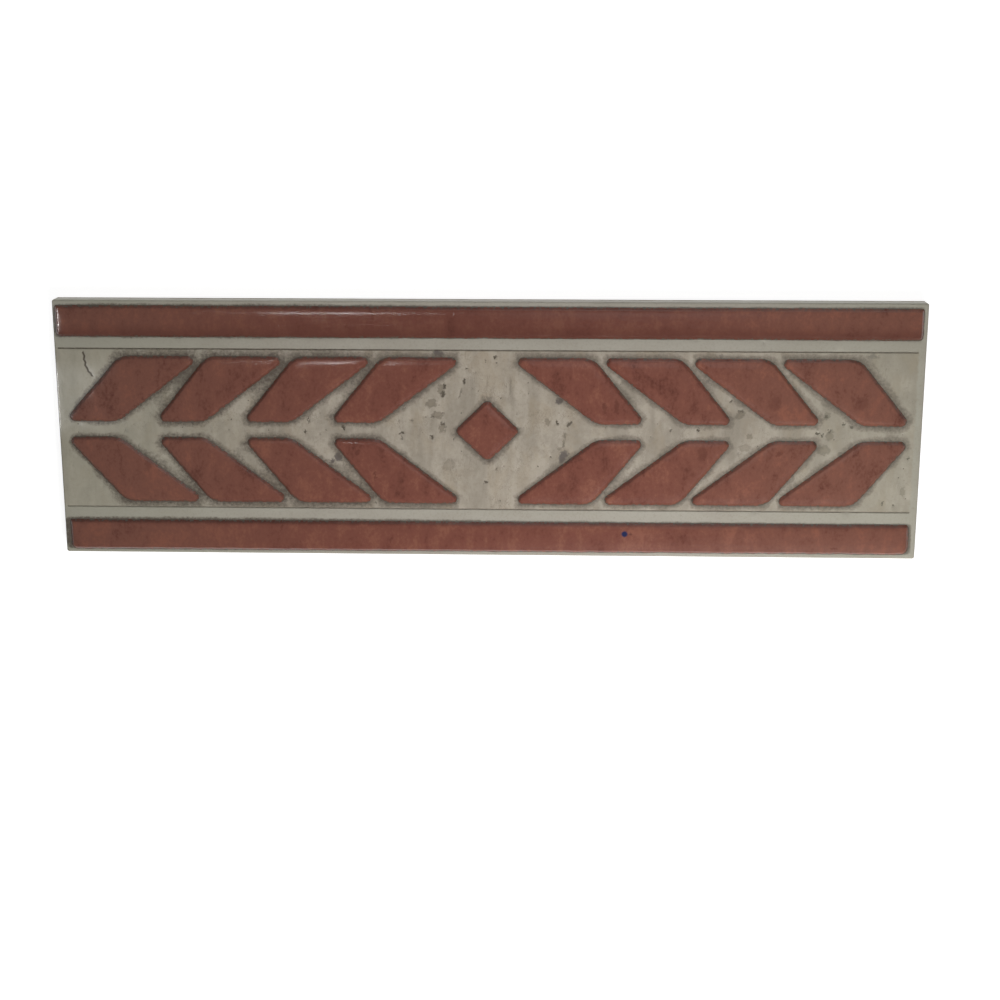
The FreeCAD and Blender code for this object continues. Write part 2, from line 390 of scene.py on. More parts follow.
class Graph:
    """Adds nodes to one tree and links them, so that a finish reads as a list of steps."""

    def __init__(self, tree):
        self.tree = tree

    def node(self, kind, **settings):
        """A new node with its settings."""
        node = self.tree.nodes.new(kind)
        for name, value in settings.items():
            setattr(node, name, value)
        return node

    def feed(self, socket, value):
        """Links a socket to another node's output, or sets its plain value or colour."""
        if isinstance(value, bpy.types.NodeSocket):
            self.tree.links.new(value, socket)
        elif socket.type == "RGBA":
            socket.default_value = (*value, 1.0)
        else:
            socket.default_value = value

    def fed(self, kind, *values, **settings):
        """Outputs of a new node whose first inputs get these values in order."""
        node = self.node(kind, **settings)
        for socket, value in zip(node.inputs, values):
            self.feed(socket, value)
        return node.outputs

    def named(self, kind, inputs, **settings):
        """First output of a new node whose inputs get these values by name."""
        node = self.node(kind, **settings)
        for name, value in inputs.items():
            self.feed(node.inputs[name], value)
        return node.outputs[0]

    def math(self, operation, *values, clamp=False):
        """One step of arithmetic."""
        return self.fed("ShaderNodeMath", *values, operation=operation, use_clamp=clamp)[0]

    def chain(self, operation, values):
        """The same arithmetic over several values."""
        total = values[0]
        for value in values[1:]:
            total = self.math(operation, total, value)
        return total

    def vector(self, operation, *values):
        """One step of vector arithmetic."""
        return self.fed("ShaderNodeVectorMath", *values, operation=operation)[0]

    def dot(self, first, second):
        """How far one vector reaches along another."""
        return self.fed("ShaderNodeVectorMath", first, second, operation="DOT_PRODUCT")["Value"]

    def parts(self, vector):
        """The X, Y and Z of a vector."""
        return self.fed("ShaderNodeSeparateXYZ", vector)

    def joined(self, x, y, z):
        """A vector from its X, Y and Z."""
        return self.fed("ShaderNodeCombineXYZ", x, y, z)[0]

    def step(self, value, low, high, at_low=0.0, at_high=1.0):
        """A smooth change from one level to another as a value goes from low to high."""
        given = (value, low, high, at_low, at_high)
        return self.fed("ShaderNodeMapRange", *given, interpolation_type="SMOOTHSTEP")[0]

    def by_side(self, across, lower, upper):
        """One level on the lower half of the tile and another on the upper half."""
        return self.step(across, -1.0, 1.0, lower, upper)

    def mix(self, factor, first, second):
        """A colour between two colours."""
        node = self.node("ShaderNodeMix", data_type="RGBA")
        colours = [socket for socket in node.inputs if socket.type == "RGBA"]
        self.feed(node.inputs[0], factor)
        self.feed(colours[0], first)
        self.feed(colours[1], second)
        return next(socket for socket in node.outputs if socket.type == "RGBA")

    def stain(self, base, colour, mask, strength):
        """A colour laid over another through a mask."""
        return self.mix(self.math("MULTIPLY", mask, strength), base, colour)

    def noise(self, at, stretch, detail=2.0, roughness=0.5, distortion=0.0, output="Fac"):
        """Cloudy noise, with its waves for each unit along X, Y and Z."""
        node = self.node("ShaderNodeTexNoise")
        self.feed(node.inputs["Vector"], self.vector("MULTIPLY", at, stretch))
        node.inputs["Scale"].default_value = 1.0
        node.inputs["Detail"].default_value = detail
        node.inputs["Roughness"].default_value = roughness
        node.inputs["Distortion"].default_value = distortion
        return node.outputs[output]

    def attribute(self, name):
        """A number stored on the mesh."""
        return self.node("ShaderNodeAttribute", attribute_name=name).outputs["Fac"]

    def group(self, tree, **inputs):
        """A node group placed here, with its inputs by name."""
        node = self.node("ShaderNodeGroup", node_tree=tree)
        for name, value in inputs.items():
            self.feed(node.inputs[name], value)
        return node.outputs


def empty_graph(owner):
    """The node tree of a material or a world, emptied."""
    owner.use_nodes = True
    owner.node_tree.nodes.clear()
    return Graph(owner.node_tree)


def new_group(name, inputs, outputs, kind="ShaderNodeTree"):
    """An empty node group with its named sockets: its graph and the sockets at its two ends."""
    tree = bpy.data.node_groups.new(name, kind)
    for in_out, sockets in (("INPUT", inputs), ("OUTPUT", outputs)):
        for label, holds in sockets.items():
            tree.interface.new_socket(label, in_out=in_out, socket_type="NodeSocket" + holds)
    graph = Graph(tree)
    return graph, graph.node("NodeGroupInput").outputs, graph.node("NodeGroupOutput").inputs


def built_once(name):
    """For a function that builds a node group: it builds it once, and then finds it by its name."""
    def decorate(build):
        @functools.wraps(build)
        def found_or_built():
            return bpy.data.node_groups.get(name) or build(name)
        return found_or_built
    return decorate


def bar_box(tile, relief):
    """A bar's middle line, half length and half width, in millimetres."""
    middle = tile.width / 2 - relief.bar_side_margin - relief.bar_width / 2
    half_length = tile.length / 2 - relief.bar_end_margin
    return middle / MM, half_length / MM, relief.bar_width / 2 / MM


def scored_line_y(tile, relief):
    """How far a scored line is from the long axis."""
    return tile.width / 2 - relief.bar_side_margin - relief.bar_width - tile.strip_width


def leaf_corners(tile, relief):
    """Corners of the first leaf pad of the upper right arm, anticlockwise from its upper tip."""
    top = scored_line_y(tile, relief) - relief.leaf_line_gap
    bottom = relief.leaf_axis_gap
    lower = relief.leaf_tip + relief.leaf_lean
    return [
        Vector((relief.leaf_tip, top)),
        Vector((lower, bottom)),
        Vector((lower + relief.leaf_lower_edge, bottom)),
        Vector((relief.leaf_tip + relief.leaf_upper_edge, top)),
    ]


def outward(start, end):
    """Unit normal out of an anticlockwise outline's side."""
    along = (end - start).normalized()
    return Vector((along.y, -along.x))


def blend_for(radius, half_angle):
    """Width of the smooth blend that rounds a corner by this radius, in millimetres."""
    blend_share = 6
    return blend_share * radius * (1 - math.sin(half_angle)) / MM


def corner_blend(radius, last, corner, following):
    """Width of the smooth blend at a corner between two others."""
    return blend_for(radius, (last - corner).angle(following - corner) / 2)


def leaf_distance_group(tile, relief):
    """Shader group: distance in millimetres out of the first leaf pad of the upper right arm."""
    graph, given, result = new_group(
        "Distance to one leaf", {"X": "Float", "Y": "Float"}, {"Distance": "Float"},
    )
    upper_tip, lower_bend, lower_tip, upper_bend = leaf_corners(tile, relief)
    tip_round, bend_round = relief.leaf_tip_round, relief.leaf_bend_round

    def past(normal, reach):
        """Distance out past a line that lies a reach away along its normal."""
        across = graph.math("MULTIPLY_ADD", given["X"], normal.x, -reach / MM)
        return graph.math("MULTIPLY_ADD", given["Y"], normal.y, across)

    def side(start, end):
        """Distance out of one side of the leaf."""
        normal = outward(start, end)
        return past(normal, normal.dot(start))

    def past_tip(last, tip, following):
        """Distance out past a rounded tip, along the line that halves its angle."""
        to_last, to_next = (last - tip).normalized(), (following - tip).normalized()
        normal = -(to_last + to_next).normalized()
        rounded_off = tip_round / math.sin(to_last.angle(to_next) / 2) - tip_round
        return past(normal, normal.dot(tip) - rounded_off)

    at_upper_tip = corner_blend(tip_round, upper_bend, upper_tip, lower_bend)
    at_lower_tip = corner_blend(tip_round, lower_bend, lower_tip, upper_bend)
    at_bends = (
        corner_blend(bend_round, upper_tip, lower_bend, lower_tip)
        + corner_blend(bend_round, lower_tip, upper_bend, upper_tip)
    ) / 2
    upper = graph.math(
        "SMOOTH_MAX", side(upper_bend, upper_tip), side(upper_tip, lower_bend), at_upper_tip,
    )
    lower = graph.math(
        "SMOOTH_MAX", side(lower_tip, upper_bend), side(lower_bend, lower_tip), at_lower_tip,
    )
    distance = graph.chain("MAXIMUM", [
        graph.math("SMOOTH_MAX", upper, lower, at_bends),
        past_tip(upper_bend, upper_tip, lower_bend),
        past_tip(lower_bend, lower_tip, upper_bend),
    ])
    graph.feed(result["Distance"], distance)
    return graph.tree


def raised_distance_group(tile, relief):
    """Shader group: distance in millimetres from a place to the nearest raised outline.

    Between two leaves it comes out shorter by up to a sixth of Build up, because the painted
    shade of both builds up there.
    """
    graph, given, result = new_group(
        "Distance to raised work", {"Place": "Vector", "Build up": "Float"}, {"Distance": "Float"},
    )
    x, y, _ = graph.parts(graph.vector("ABSOLUTE", given["Place"]))
    upper_tip, lower_bend, lower_tip, upper_bend = leaf_corners(tile, relief)
    pitch = relief.leaf_pitch / MM
    lean = (lower_bend.x + lower_tip.x - upper_tip.x - upper_bend.x) / 2 / (upper_tip.y - lower_tip.y)
    middle = (upper_tip.x + upper_bend.x) / 2 / MM + lean * upper_tip.y / MM
    from_first = graph.math("MULTIPLY_ADD", y, lean, graph.math("SUBTRACT", x, middle))
    index = graph.math("FLOOR", graph.math("DIVIDE", from_first, pitch))
    index = graph.math("MAXIMUM", graph.math("MINIMUM", index, relief.leaves - 2.0), 0.0)
    one_leaf = leaf_distance_group(tile, relief)
    before = graph.math("MULTIPLY_ADD", index, -pitch, x)
    after = graph.math("SUBTRACT", before, pitch)
    leaf = graph.math(
        "SMOOTH_MIN",
        graph.group(one_leaf, X=before, Y=y)["Distance"],
        graph.group(one_leaf, X=after, Y=y)["Distance"],
        given["Build up"],
    )
    bar_y, half_length, half_width = bar_box(tile, relief)
    off_bar = graph.math("ABSOLUTE", graph.math("SUBTRACT", y, bar_y))
    bar = graph.math(
        "SMOOTH_MAX",
        graph.math("SUBTRACT", off_bar, half_width),
        graph.math("SUBTRACT", x, half_length),
        blend_for(relief.bar_corner, math.pi / 4),
    )
    reach_x, reach_y = relief.diamond_length / 2 / MM, relief.diamond_width / 2 / MM
    slant = math.hypot(reach_x, reach_y)
    diamond = graph.math("MULTIPLY_ADD", x, reach_y / slant, -reach_x * reach_y / slant)
    diamond = graph.math("MULTIPLY_ADD", y, reach_x / slant, diamond)
    cut = relief.diamond_corner * (math.sqrt(2) - 1) / MM
    diamond = graph.chain("MAXIMUM", [
        diamond,
        graph.math("SUBTRACT", x, reach_x - cut),
        graph.math("SUBTRACT", y, reach_y - cut),
    ])
    graph.feed(result["Distance"], graph.chain("MINIMUM", [leaf, bar, diamond]))
    return graph.tree


@built_once("Ragged place")
def ragged_place_group(name):
    """Shader group: a place pushed about a little, so that marks laid in it have ragged edges."""
    graph, given, result = new_group(name, {"Place": "Vector"}, {"Ragged": "Vector"})
    pushed = given["Place"]
    for waves, reach in ((0.3, 3.4), (0.9, 2.6)):
        push = graph.noise(given["Place"], (waves,) * 3, 4.0, 0.68, 0.0, "Color")
        push = graph.vector("SUBTRACT", push, (0.5, 0.5, 0.5))
        pushed = graph.vector("ADD", pushed, graph.vector("MULTIPLY", push, (reach, reach, 0.0)))
    graph.feed(result["Ragged"], pushed)
    return graph.tree


@built_once("Oval mark")
def oval_mark_group(name):
    """Shader group: mask of one soft oval and of its rim.

    Its inputs Along and Across point along the oval's two axes; each is one over that half axis long.
    """
    inputs = dict.fromkeys(("Place", "Centre", "Along", "Across"), "Vector")
    inputs["Strength"] = "Float"
    graph, given, result = new_group(name, inputs, {"Mask": "Float", "Rim": "Float"})
    off_centre = graph.vector("SUBTRACT", given["Place"], given["Centre"])
    x = graph.dot(off_centre, given["Along"])
    y = graph.dot(off_centre, given["Across"])
    away = graph.math("SQRT", graph.math("MULTIPLY_ADD", x, x, graph.math("MULTIPLY", y, y)))
    mask = graph.step(away, 0.6, 1.2, given["Strength"], 0.0)
    graph.feed(result["Mask"], mask)
    graph.feed(result["Rim"], graph.math("MULTIPLY", mask, graph.step(away, 0.5, 0.95)))
    return graph.tree


def marks_on(graph, oval, at, marks):
    """Masks of several listed marks together, and of their rims."""
    masks, rims = 0.0, 0.0
    for mark in marks:
        turn = math.radians(mark.turn)
        half_length, half_width = mark.length / 2, mark.width / 2
        drawn = graph.group(
            oval, Place=at, Centre=(mark.x, mark.y, 0.0), Strength=mark.strength,
            Along=(math.cos(turn) / half_length, math.sin(turn) / half_length, 0.0),
            Across=(-math.sin(turn) / half_width, math.cos(turn) / half_width, 0.0),
        )
        masks = graph.math("MAXIMUM", drawn["Mask"], masks)
        rims = graph.math("MAXIMUM", drawn["Rim"], rims)
    return masks, rims


@built_once("Clay grain")
def clay_grain_group(name):
    """Shader group: the sandy grain of fired clay, as a mask and as a height."""
    outputs = {"Grain": "Float", "Height": "Float"}
    graph, given, result = new_group(name, {"Place": "Vector"}, outputs)
    fine = graph.noise(given["Place"], (2.6,) * 3, 4.0, 0.65)
    cloudy = graph.noise(given["Place"], (0.09,) * 3, 3.0, 0.55)
    both = graph.math("MULTIPLY_ADD", fine, 0.55, graph.math("MULTIPLY", cloudy, 0.45))
    graph.feed(result["Grain"], graph.step(both, 0.32, 0.68))
    graph.feed(result["Height"], fine)
    return graph.tree


@built_once("Glaze ripple")
def glaze_ripple_group(name):
    """Shader group: height of the faint ripple on fired glaze."""
    graph, given, result = new_group(name, {"Place": "Vector"}, {"Height": "Float"})
    ripple = graph.noise(given["Place"], (0.55,) * 3, 2.0, 0.5)
    pin = graph.noise(given["Place"], (3.2,) * 3, 1.0, 0.5)
    graph.feed(result["Height"], graph.math("MULTIPLY_ADD", pin, 0.16, ripple))
    return graph.tree


@built_once("Spray speckle")
def shade_speckle_group(name):
    """Shader group: speckle of the painted shade, which runs on from the field over the pads' feet."""
    graph, given, result = new_group(name, {"Place": "Vector"}, {"Speckle": "Float"})
    graph.feed(result["Speckle"], graph.noise(given["Place"], (0.8, 0.8, 0.8), 3.0, 0.7))
    return graph.tree


def start_material(name):
    """An empty material with its graph, its shader and the place in millimetres."""
    material = bpy.data.materials.new(name)
    graph = empty_graph(material)
    shader = graph.node("ShaderNodeBsdfPrincipled")
    graph.fed("ShaderNodeOutputMaterial", shader.outputs[0])
    at = graph.node("ShaderNodeTexCoord").outputs["Object"]
    return material, graph, shader, graph.vector("MULTIPLY", at, (1 / MM,) * 3)


def add_bump(graph, shader, height, distance):
    """Small relief of a finish, given as a height and its depth in metres."""
    bump = graph.named("ShaderNodeBump", {"Strength": 1.0, "Distance": distance, "Height": height})
    graph.feed(shader.inputs["Normal"], bump)


def clay_colour(graph, grain, colours, dark_share):
    """Colour of bare clay, whose grain goes down to a share of the full colour."""
    clay_dark = [dark_share * value for value in colours.biscuit]
    return graph.mix(grain["Grain"], clay_dark, colours.biscuit)


def stone_field(graph, at, colours):
    """Colour of the printed stone: bands across the tile, tan clouds, grain, specks and veins."""
    bands = graph.noise(at, (0.15, 0.04, 0.1), 4.0, 0.6, 0.5)
    clouds = graph.noise(at, (0.08, 0.07, 0.1), 4.0, 0.6, 0.3)
    tone = graph.math("MULTIPLY_ADD", bands, 0.5, graph.math("MULTIPLY", clouds, 0.5))
    stone = graph.mix(graph.step(tone, 0.36, 0.64), colours.field_dark, colours.field_pale)
    tan = graph.step(graph.noise(at, (0.1, 0.06, 0.1), 4.0, 0.62, 0.4), 0.46, 0.72, 0.0, 0.6)
    stone = graph.mix(tan, stone, colours.field_tan)
    grain = graph.noise(at, (0.9, 0.8, 1.0), 4.0, 0.75)
    stone = graph.mix(graph.step(grain, 0.55, 0.25, 0.0, 0.4), stone, colours.field_fill)
    clusters = graph.step(graph.noise(at, (0.11, 0.09, 0.1), 3.0, 0.6), 0.48, 0.66)
    specks = graph.step(graph.noise(at, (0.8, 0.6, 0.8), 4.0, 0.72, 0.5), 0.40, 0.30, 0.0, 0.7)
    veins = graph.noise(at, (0.5, 0.24, 0.5), 4.0, 0.65, 0.6)
    thin = graph.math("ABSOLUTE", graph.math("SUBTRACT", veins, 0.5))
    vein = graph.step(thin, 0.0, 0.022, 0.4, 0.0)
    marked = graph.math("MULTIPLY", graph.math("MAXIMUM", specks, vein), clusters)
    return graph.mix(marked, stone, colours.speck_and_shade)


def cream_glaze(tile, relief, colours):
    """Satin cream glaze: stone-look field, plain strips and rim, and bare clay low on the sides."""
    material, graph, shader, at = start_material("cream_stone")
    along, signed_y, signed_z = graph.parts(at)
    _, y, z = graph.parts(graph.vector("ABSOLUTE", at))
    field = stone_field(graph, at, colours)
    strip_cloud = graph.noise(at, (0.05, 0.12, 0.1), 3.0, 0.5)
    strip = graph.mix(graph.step(strip_cloud, 0.3, 0.7, 0.0, 0.3), colours.strip, colours.field_dark)
    dusty = graph.noise(at, (1.1, 1.1, 1.1), 4.0, 0.75)
    strip = graph.mix(graph.step(dusty, 0.55, 0.25, 0.0, 0.35), strip, colours.field_fill)

    # Pits, filled holes and stains, and painted shade in two leaf gaps
    ragged = graph.group(ragged_place_group(), Place=at)["Ragged"]
    oval = oval_mark_group()
    holes, rims = marks_on(graph, oval, ragged, FILLED_HOLES)
    grey, _ = marks_on(graph, oval, ragged, GREY_BLOTCHES)
    pits, _ = marks_on(graph, oval, ragged, PITS)
    field = graph.stain(field, colours.field_fill, holes, 0.75)
    field = graph.stain(field, colours.speck_and_shade, rims, 0.55)
    field = graph.stain(field, colours.field_grey, grey, 0.95)
    field = graph.stain(field, colours.pit, pits, 0.9)

    # The print ends at the scored lines and a little before the tile's right end
    line_y = scored_line_y(tile, relief) / MM
    left_end = (tile.line_left - tile.length / 2) / MM
    right_end = (tile.length / 2 - tile.line_right) / MM
    uneven = graph.math("MULTIPLY", graph.noise(at, (0.6, 0.6, 0.6), 2.0), 1.6)
    past_line = graph.step(y, line_y - 0.1, line_y + 0.1)
    past_end = graph.step(graph.math("ADD", along, uneven), right_end + 0.3, right_end + 1.3)
    face = graph.mix(graph.math("MAXIMUM", past_line, past_end), field, strip)
    # The cream is duller and greener towards both ends, most at the left end, where it is painted shade
    # of the light falling off
    end_dulling = graph.math(
        "MAXIMUM",
        graph.step(along, -165.0, -60.0, 0.45, 0.0),
        graph.step(along, 80.0, 160.0, 0.0, 0.3),
    )
    face = graph.mix(end_dulling, face, colours.dull_ends)

    # The scored lines are painted dark as shade in their grooves, the upper line more than the
    # lower one and more towards the left; cracks and small pits hold dirt
    line_patchiness = graph.noise(at, (0.8, 1.0, 0.8), 3.0, 0.65)
    off_line = graph.math("ABSOLUTE", graph.math("SUBTRACT", y, line_y))
    line_shade = graph.chain("MULTIPLY", [
        graph.step(off_line, 0.05, 0.5, 1.0, 0.0),
        graph.by_side(signed_y, 0.36, graph.step(along, -60.0, 60.0, 0.82, 0.58)),
        graph.step(along, right_end - 0.4, right_end, 1.0, 0.0),
        graph.step(along, left_end, left_end + 0.4),
        graph.step(line_patchiness, 0.3, 0.65, 0.6, 1.0),
    ])
    # Dirt of cracks and pits, with the painted shade of the scored lines
    dark = graph.math("MAXIMUM", graph.step(graph.attribute("crack"), 0.05, 0.65, 0.0, 0.95), line_shade)
    face = graph.mix(dark, face, colours.pit)

    # Painted shade round the foot of the raised work, loose and speckled, and narrow beside the bars
    far_left = graph.step(along, FAR_LEFT_FROM * left_end, FAR_LEFT_TO * left_end, 1.0, 0.0)
    stretched = graph.math("MULTIPLY_ADD", far_left, relief.left_reach / MM, along)
    set_back = graph.math("MULTIPLY_ADD", past_line, -relief.set_low / MM, relief.set_low / MM)
    unstretched = graph.joined(stretched, graph.math("ADD", signed_y, set_back), signed_z)
    near_line = line_y - 5.0, line_y - 3.0
    build_up = graph.math(
        "MULTIPLY",
        graph.step(along, -70.0, 30.0, 7.0, 1.5),
        graph.step(y, *near_line, 1.0, 0.0),
    )
    raised = raised_distance_group(tile, relief)
    away = graph.group(raised, **{"Place": unstretched, "Build up": build_up})["Distance"]
    spread = graph.noise(at, (0.12, 0.12, 0.12), 3.0)
    speckle = graph.group(shade_speckle_group(), Place=at)["Speckle"]
    reach = graph.step(spread, 0.3, 0.7, 1.5, 3.1)
    by_line = graph.step(along, -90.0, 20.0, 1.3, 0.1)
    leftward = graph.step(along, -90.0, 20.0, 0.4, 0.0)
    far_left_less = graph.step(along, -160.0, -140.0, -1.0, 0.0)
    far_right_more = graph.step(along, 115.0, 150.0, 0.0, graph.step(signed_y, -8.0, 4.0, 0.0, 1.4))
    reach = graph.chain("ADD", [reach, leftward, far_left_less, far_right_more])
    reach = graph.math("ADD", reach, graph.step(y, *near_line, 0.0, by_line))
    reach = graph.math("MULTIPLY", reach, graph.math("MULTIPLY_ADD", past_line, -0.72, 1.0))
    close = graph.math("SUBTRACT", 1.0, graph.math("DIVIDE", away, reach), clamp=True)
    loose = graph.step(along, -120.0, -20.0, 2.0, 1.5)
    speckled_shade = graph.math("MULTIPLY_ADD", graph.math("SUBTRACT", speckle, 0.5), loose, close, clamp=True)
    densest = graph.step(along, -60.0, 60.0, 0.95, 0.82)
    shaded = graph.math("MULTIPLY", speckled_shade, graph.step(close, 0.0, 0.3, 0.0, densest))
    up = graph.step(z, 5.6, 6.9)
    face = graph.stain(face, colours.speck_and_shade, shaded, up)

    # Glaze runs part way down the sides and ends in an uneven line
    grain = graph.group(clay_grain_group(), Place=at)
    clay = clay_colour(graph, grain, colours, 0.8)
    run = graph.noise(at, (0.14, 0.14, 0.05), 3.0, 0.55)
    bare = graph.step(graph.math("MULTIPLY_ADD", run, 4.5, z), 4.4, 4.9, 1.0, 0.0)
    graph.feed(shader.inputs["Base Color"], graph.mix(bare, face, clay))
    satin = graph.step(speckle, 0.3, 0.7, 0.36, 0.5)
    rough = graph.math("MAXIMUM", graph.math("MULTIPLY", bare, 0.85), satin)
    sunk = graph.math("MULTIPLY", graph.math("MAXIMUM", dark, pits), 0.8)
    graph.feed(shader.inputs["Roughness"], graph.math("MAXIMUM", rough, sunk))
    ripple = graph.group(glaze_ripple_group(), Place=at)["Height"]
    height = graph.math("MULTIPLY_ADD", graph.math("MULTIPLY", grain["Height"], bare), 1.5, ripple)
    add_bump(graph, shader, height, 0.04 * MM)
    return material


def terracotta_glaze(tile, relief, colours):
    """Gloss terracotta glaze: mottled, dark at its foot as painted shade, with smears fired in and one
    ink spot.
    """
    material, graph, shader, at = start_material("gloss_terracotta")
    along, signed_y, _ = graph.parts(at)
    x, y, _ = graph.parts(graph.vector("ABSOLUTE", at))
    broad = graph.noise(at, (0.03, 0.045, 0.05), 3.0, 0.55)
    middle = graph.noise(at, (0.16, 0.09, 0.2), 4.0, 0.62, 0.4)
    fine = graph.noise(at, (0.9, 0.7, 0.9), 4.0, 0.75)
    tone = graph.math("MULTIPLY_ADD", middle, 0.6, graph.math("MULTIPLY", fine, 0.4))
    tone = graph.math("MULTIPLY_ADD", graph.attribute("tone"), 0.06, graph.math("SUBTRACT", tone, 0.03))
    ends = graph.math("MULTIPLY_ADD", broad, 40.0, x)
    body = graph.mix(graph.step(ends, 60.0, 165.0), colours.red, colours.red_brown)
    red = graph.mix(graph.step(tone, 0.27, 0.51), colours.red_dark, body)
    red = graph.mix(graph.step(tone, 0.50, 0.66), red, colours.red_pale)
    fleck = graph.step(graph.noise(at, (0.9, 0.7, 1.0), 3.0, 0.65), 0.34, 0.24, 0.0, 0.25)
    # Painted shade: the red is darker towards the left end
    left_shade = graph.step(along, -80.0, 30.0, 0.16, 0.0)
    red = graph.mix(graph.math("MAXIMUM", fleck, left_shade), red, colours.red_dark)

    # Each bar is darker along its inner side, the upper one further in than the lower one; the upper
    # bar is also painted darker all over as shade, most in its middle
    bar_y, _, half_width = bar_box(tile, relief)
    inner = bar_y - half_width
    uneven = graph.noise(at, (0.25, 0.3, 0.3), 3.0, 0.6)
    depth = graph.math("MULTIPLY_ADD", graph.math("SUBTRACT", uneven, 0.5), -3.0, y)
    depth = graph.math("SUBTRACT", depth, inner)
    depth = graph.math("DIVIDE", depth, graph.by_side(signed_y, 2.8, 6.5))
    on_bar = graph.step(y, inner - 2.0, inner - 1.0)
    strength = graph.by_side(signed_y, 0.75, 0.8)
    # Painted shade over the whole upper bar, most in its middle
    whole = graph.by_side(signed_y, 0.1, graph.step(x, 50.0, 130.0, 0.42, 0.12))
    ramp = graph.step(depth, -0.2, 1.0, strength, whole)
    red = graph.stain(red, colours.red_dark, ramp, on_bar)

    # Painted shade at the foot: darker towards the edge, and the face's painted shade runs on over the
    # foot from a ragged line
    inset = graph.math("MULTIPLY", graph.attribute("inset"), 1 / MM)
    speckle = graph.group(shade_speckle_group(), Place=at)["Speckle"]
    edge = graph.math("MULTIPLY_ADD", graph.math("SUBTRACT", speckle, 0.5), -3.0, inset)
    # The painted shade at the foot is strongest at the left
    line = graph.step(along, -110.0, 60.0, 0.45, 0.12)
    red = graph.mix(graph.step(edge, 0.0, 1.1, line, 0.0), red, colours.foot)
    red = graph.mix(graph.step(edge, -0.2, 0.25, 0.95, 0.0), red, colours.speck_and_shade)

    ragged = graph.group(ragged_place_group(), Place=at)["Ragged"]
    oval = oval_mark_group()
    smears, _ = marks_on(graph, oval, ragged, SMEARS)
    ink_dot, _ = marks_on(graph, oval, at, (INK_DOT,))
    ink_spot, _ = marks_on(graph, oval, at, (INK_SPOT,))
    red = graph.stain(red, colours.red_dark, smears, 0.55)
    red = graph.mix(ink_dot, red, colours.foot)
    red = graph.mix(ink_spot, red, colours.ink)
    graph.feed(shader.inputs["Base Color"], red)
    graph.feed(shader.inputs["Roughness"], graph.step(middle, 0.3, 0.7, 0.12, 0.2))
    shader.inputs["IOR"].default_value = 1.6
    ripple = graph.group(glaze_ripple_group(), Place=at)["Height"]
    add_bump(graph, shader, ripple, 0.05 * MM)
    return material


def biscuit(colours):
    """Bare fired clay of the back."""
    material, graph, shader, at = start_material("bare_biscuit")
    grain = graph.group(clay_grain_group(), Place=at)
    clay = clay_colour(graph, grain, colours, 0.72)
    stain = graph.step(graph.noise(at, (0.02, 0.03, 0.05), 4.0, 0.6), 0.5, 0.75, 0.0, 0.3)
    clay = graph.mix(stain, clay, colours.field_tan)
    graph.feed(shader.inputs["Base Color"], clay)
    shader.inputs["Roughness"].default_value = 0.88
    add_bump(graph, shader, grain["Height"], 0.09 * MM)
    return material


def shared_material(name, make, *given):
    """A material by name, made the first time that a piece asks for it."""
    return bpy.data.materials.get(name) or make(*given)


def rounded_ring(corners, radii, inset, side_step, arc_steps):
    """Points round an anticlockwise outline, set in from it. Every inset has as many points."""
    smallest = 0.1 * MM
    arcs = []
    for i, corner in enumerate(corners):
        last, following = corners[i - 1], corners[(i + 1) % len(corners)]
        to_last, to_next = (last - corner).normalized(), (following - corner).normalized()
        half_angle = to_last.angle(to_next) / 2
        radius = max(radii[i] - inset, smallest)
        centre = corner + (to_last + to_next).normalized() * ((radius + inset) / math.sin(half_angle))
        first = outward(last, corner)
        arcs.append((centre, math.atan2(first.y, first.x), math.pi - 2 * half_angle, radius))
    points = []
    for i, (centre, start, turn, radius) in enumerate(arcs):
        for k in range(arc_steps + 1):
            angle = start + turn * k / arc_steps
            spoke = Vector((math.cos(angle), math.sin(angle)))
            points.append(centre + spoke * radius)
        after, after_start, _, after_radius = arcs[(i + 1) % len(arcs)]
        spoke = Vector((math.cos(after_start), math.sin(after_start)))
        side_start, side_end = points[-1], after + spoke * after_radius
        pieces = max(1, round((corners[(i + 1) % len(corners)] - corners[i]).length / side_step))
        points += [side_start.lerp(side_end, k / pieces) for k in range(1, pieces)]
    return points


def rectangle(low_x, high_x, low_y, high_y):
    """Corners of a rectangle, anticlockwise."""
    return [
        Vector((high_x, low_y)), Vector((high_x, high_y)),
        Vector((low_x, high_y)), Vector((low_x, low_y)),
    ]


def inside_by(corners, point):
    """How far a point is inside an anticlockwise convex outline."""
    sides = zip(corners, corners[1:] + corners[:1])
    return min(-outward(start, end).dot(point - start) for start, end in sides)


def filled(points, edges, boundary):
    """Triangles over the points inside the boundary that keep the edges; also the points used."""
    only_inside, tolerance = 1, 1e-9
    found, _, triangles, origins, _, _ = delaunay_2d_cdt(
        points, edges, [list(range(boundary))], only_inside, tolerance,
    )
    return found, triangles, origins


def store(mesh, name, values):
    """Stores a number for each of a mesh's points."""
    mesh.attributes.new(name, "FLOAT", "POINT").data.foreach_set("value", values)


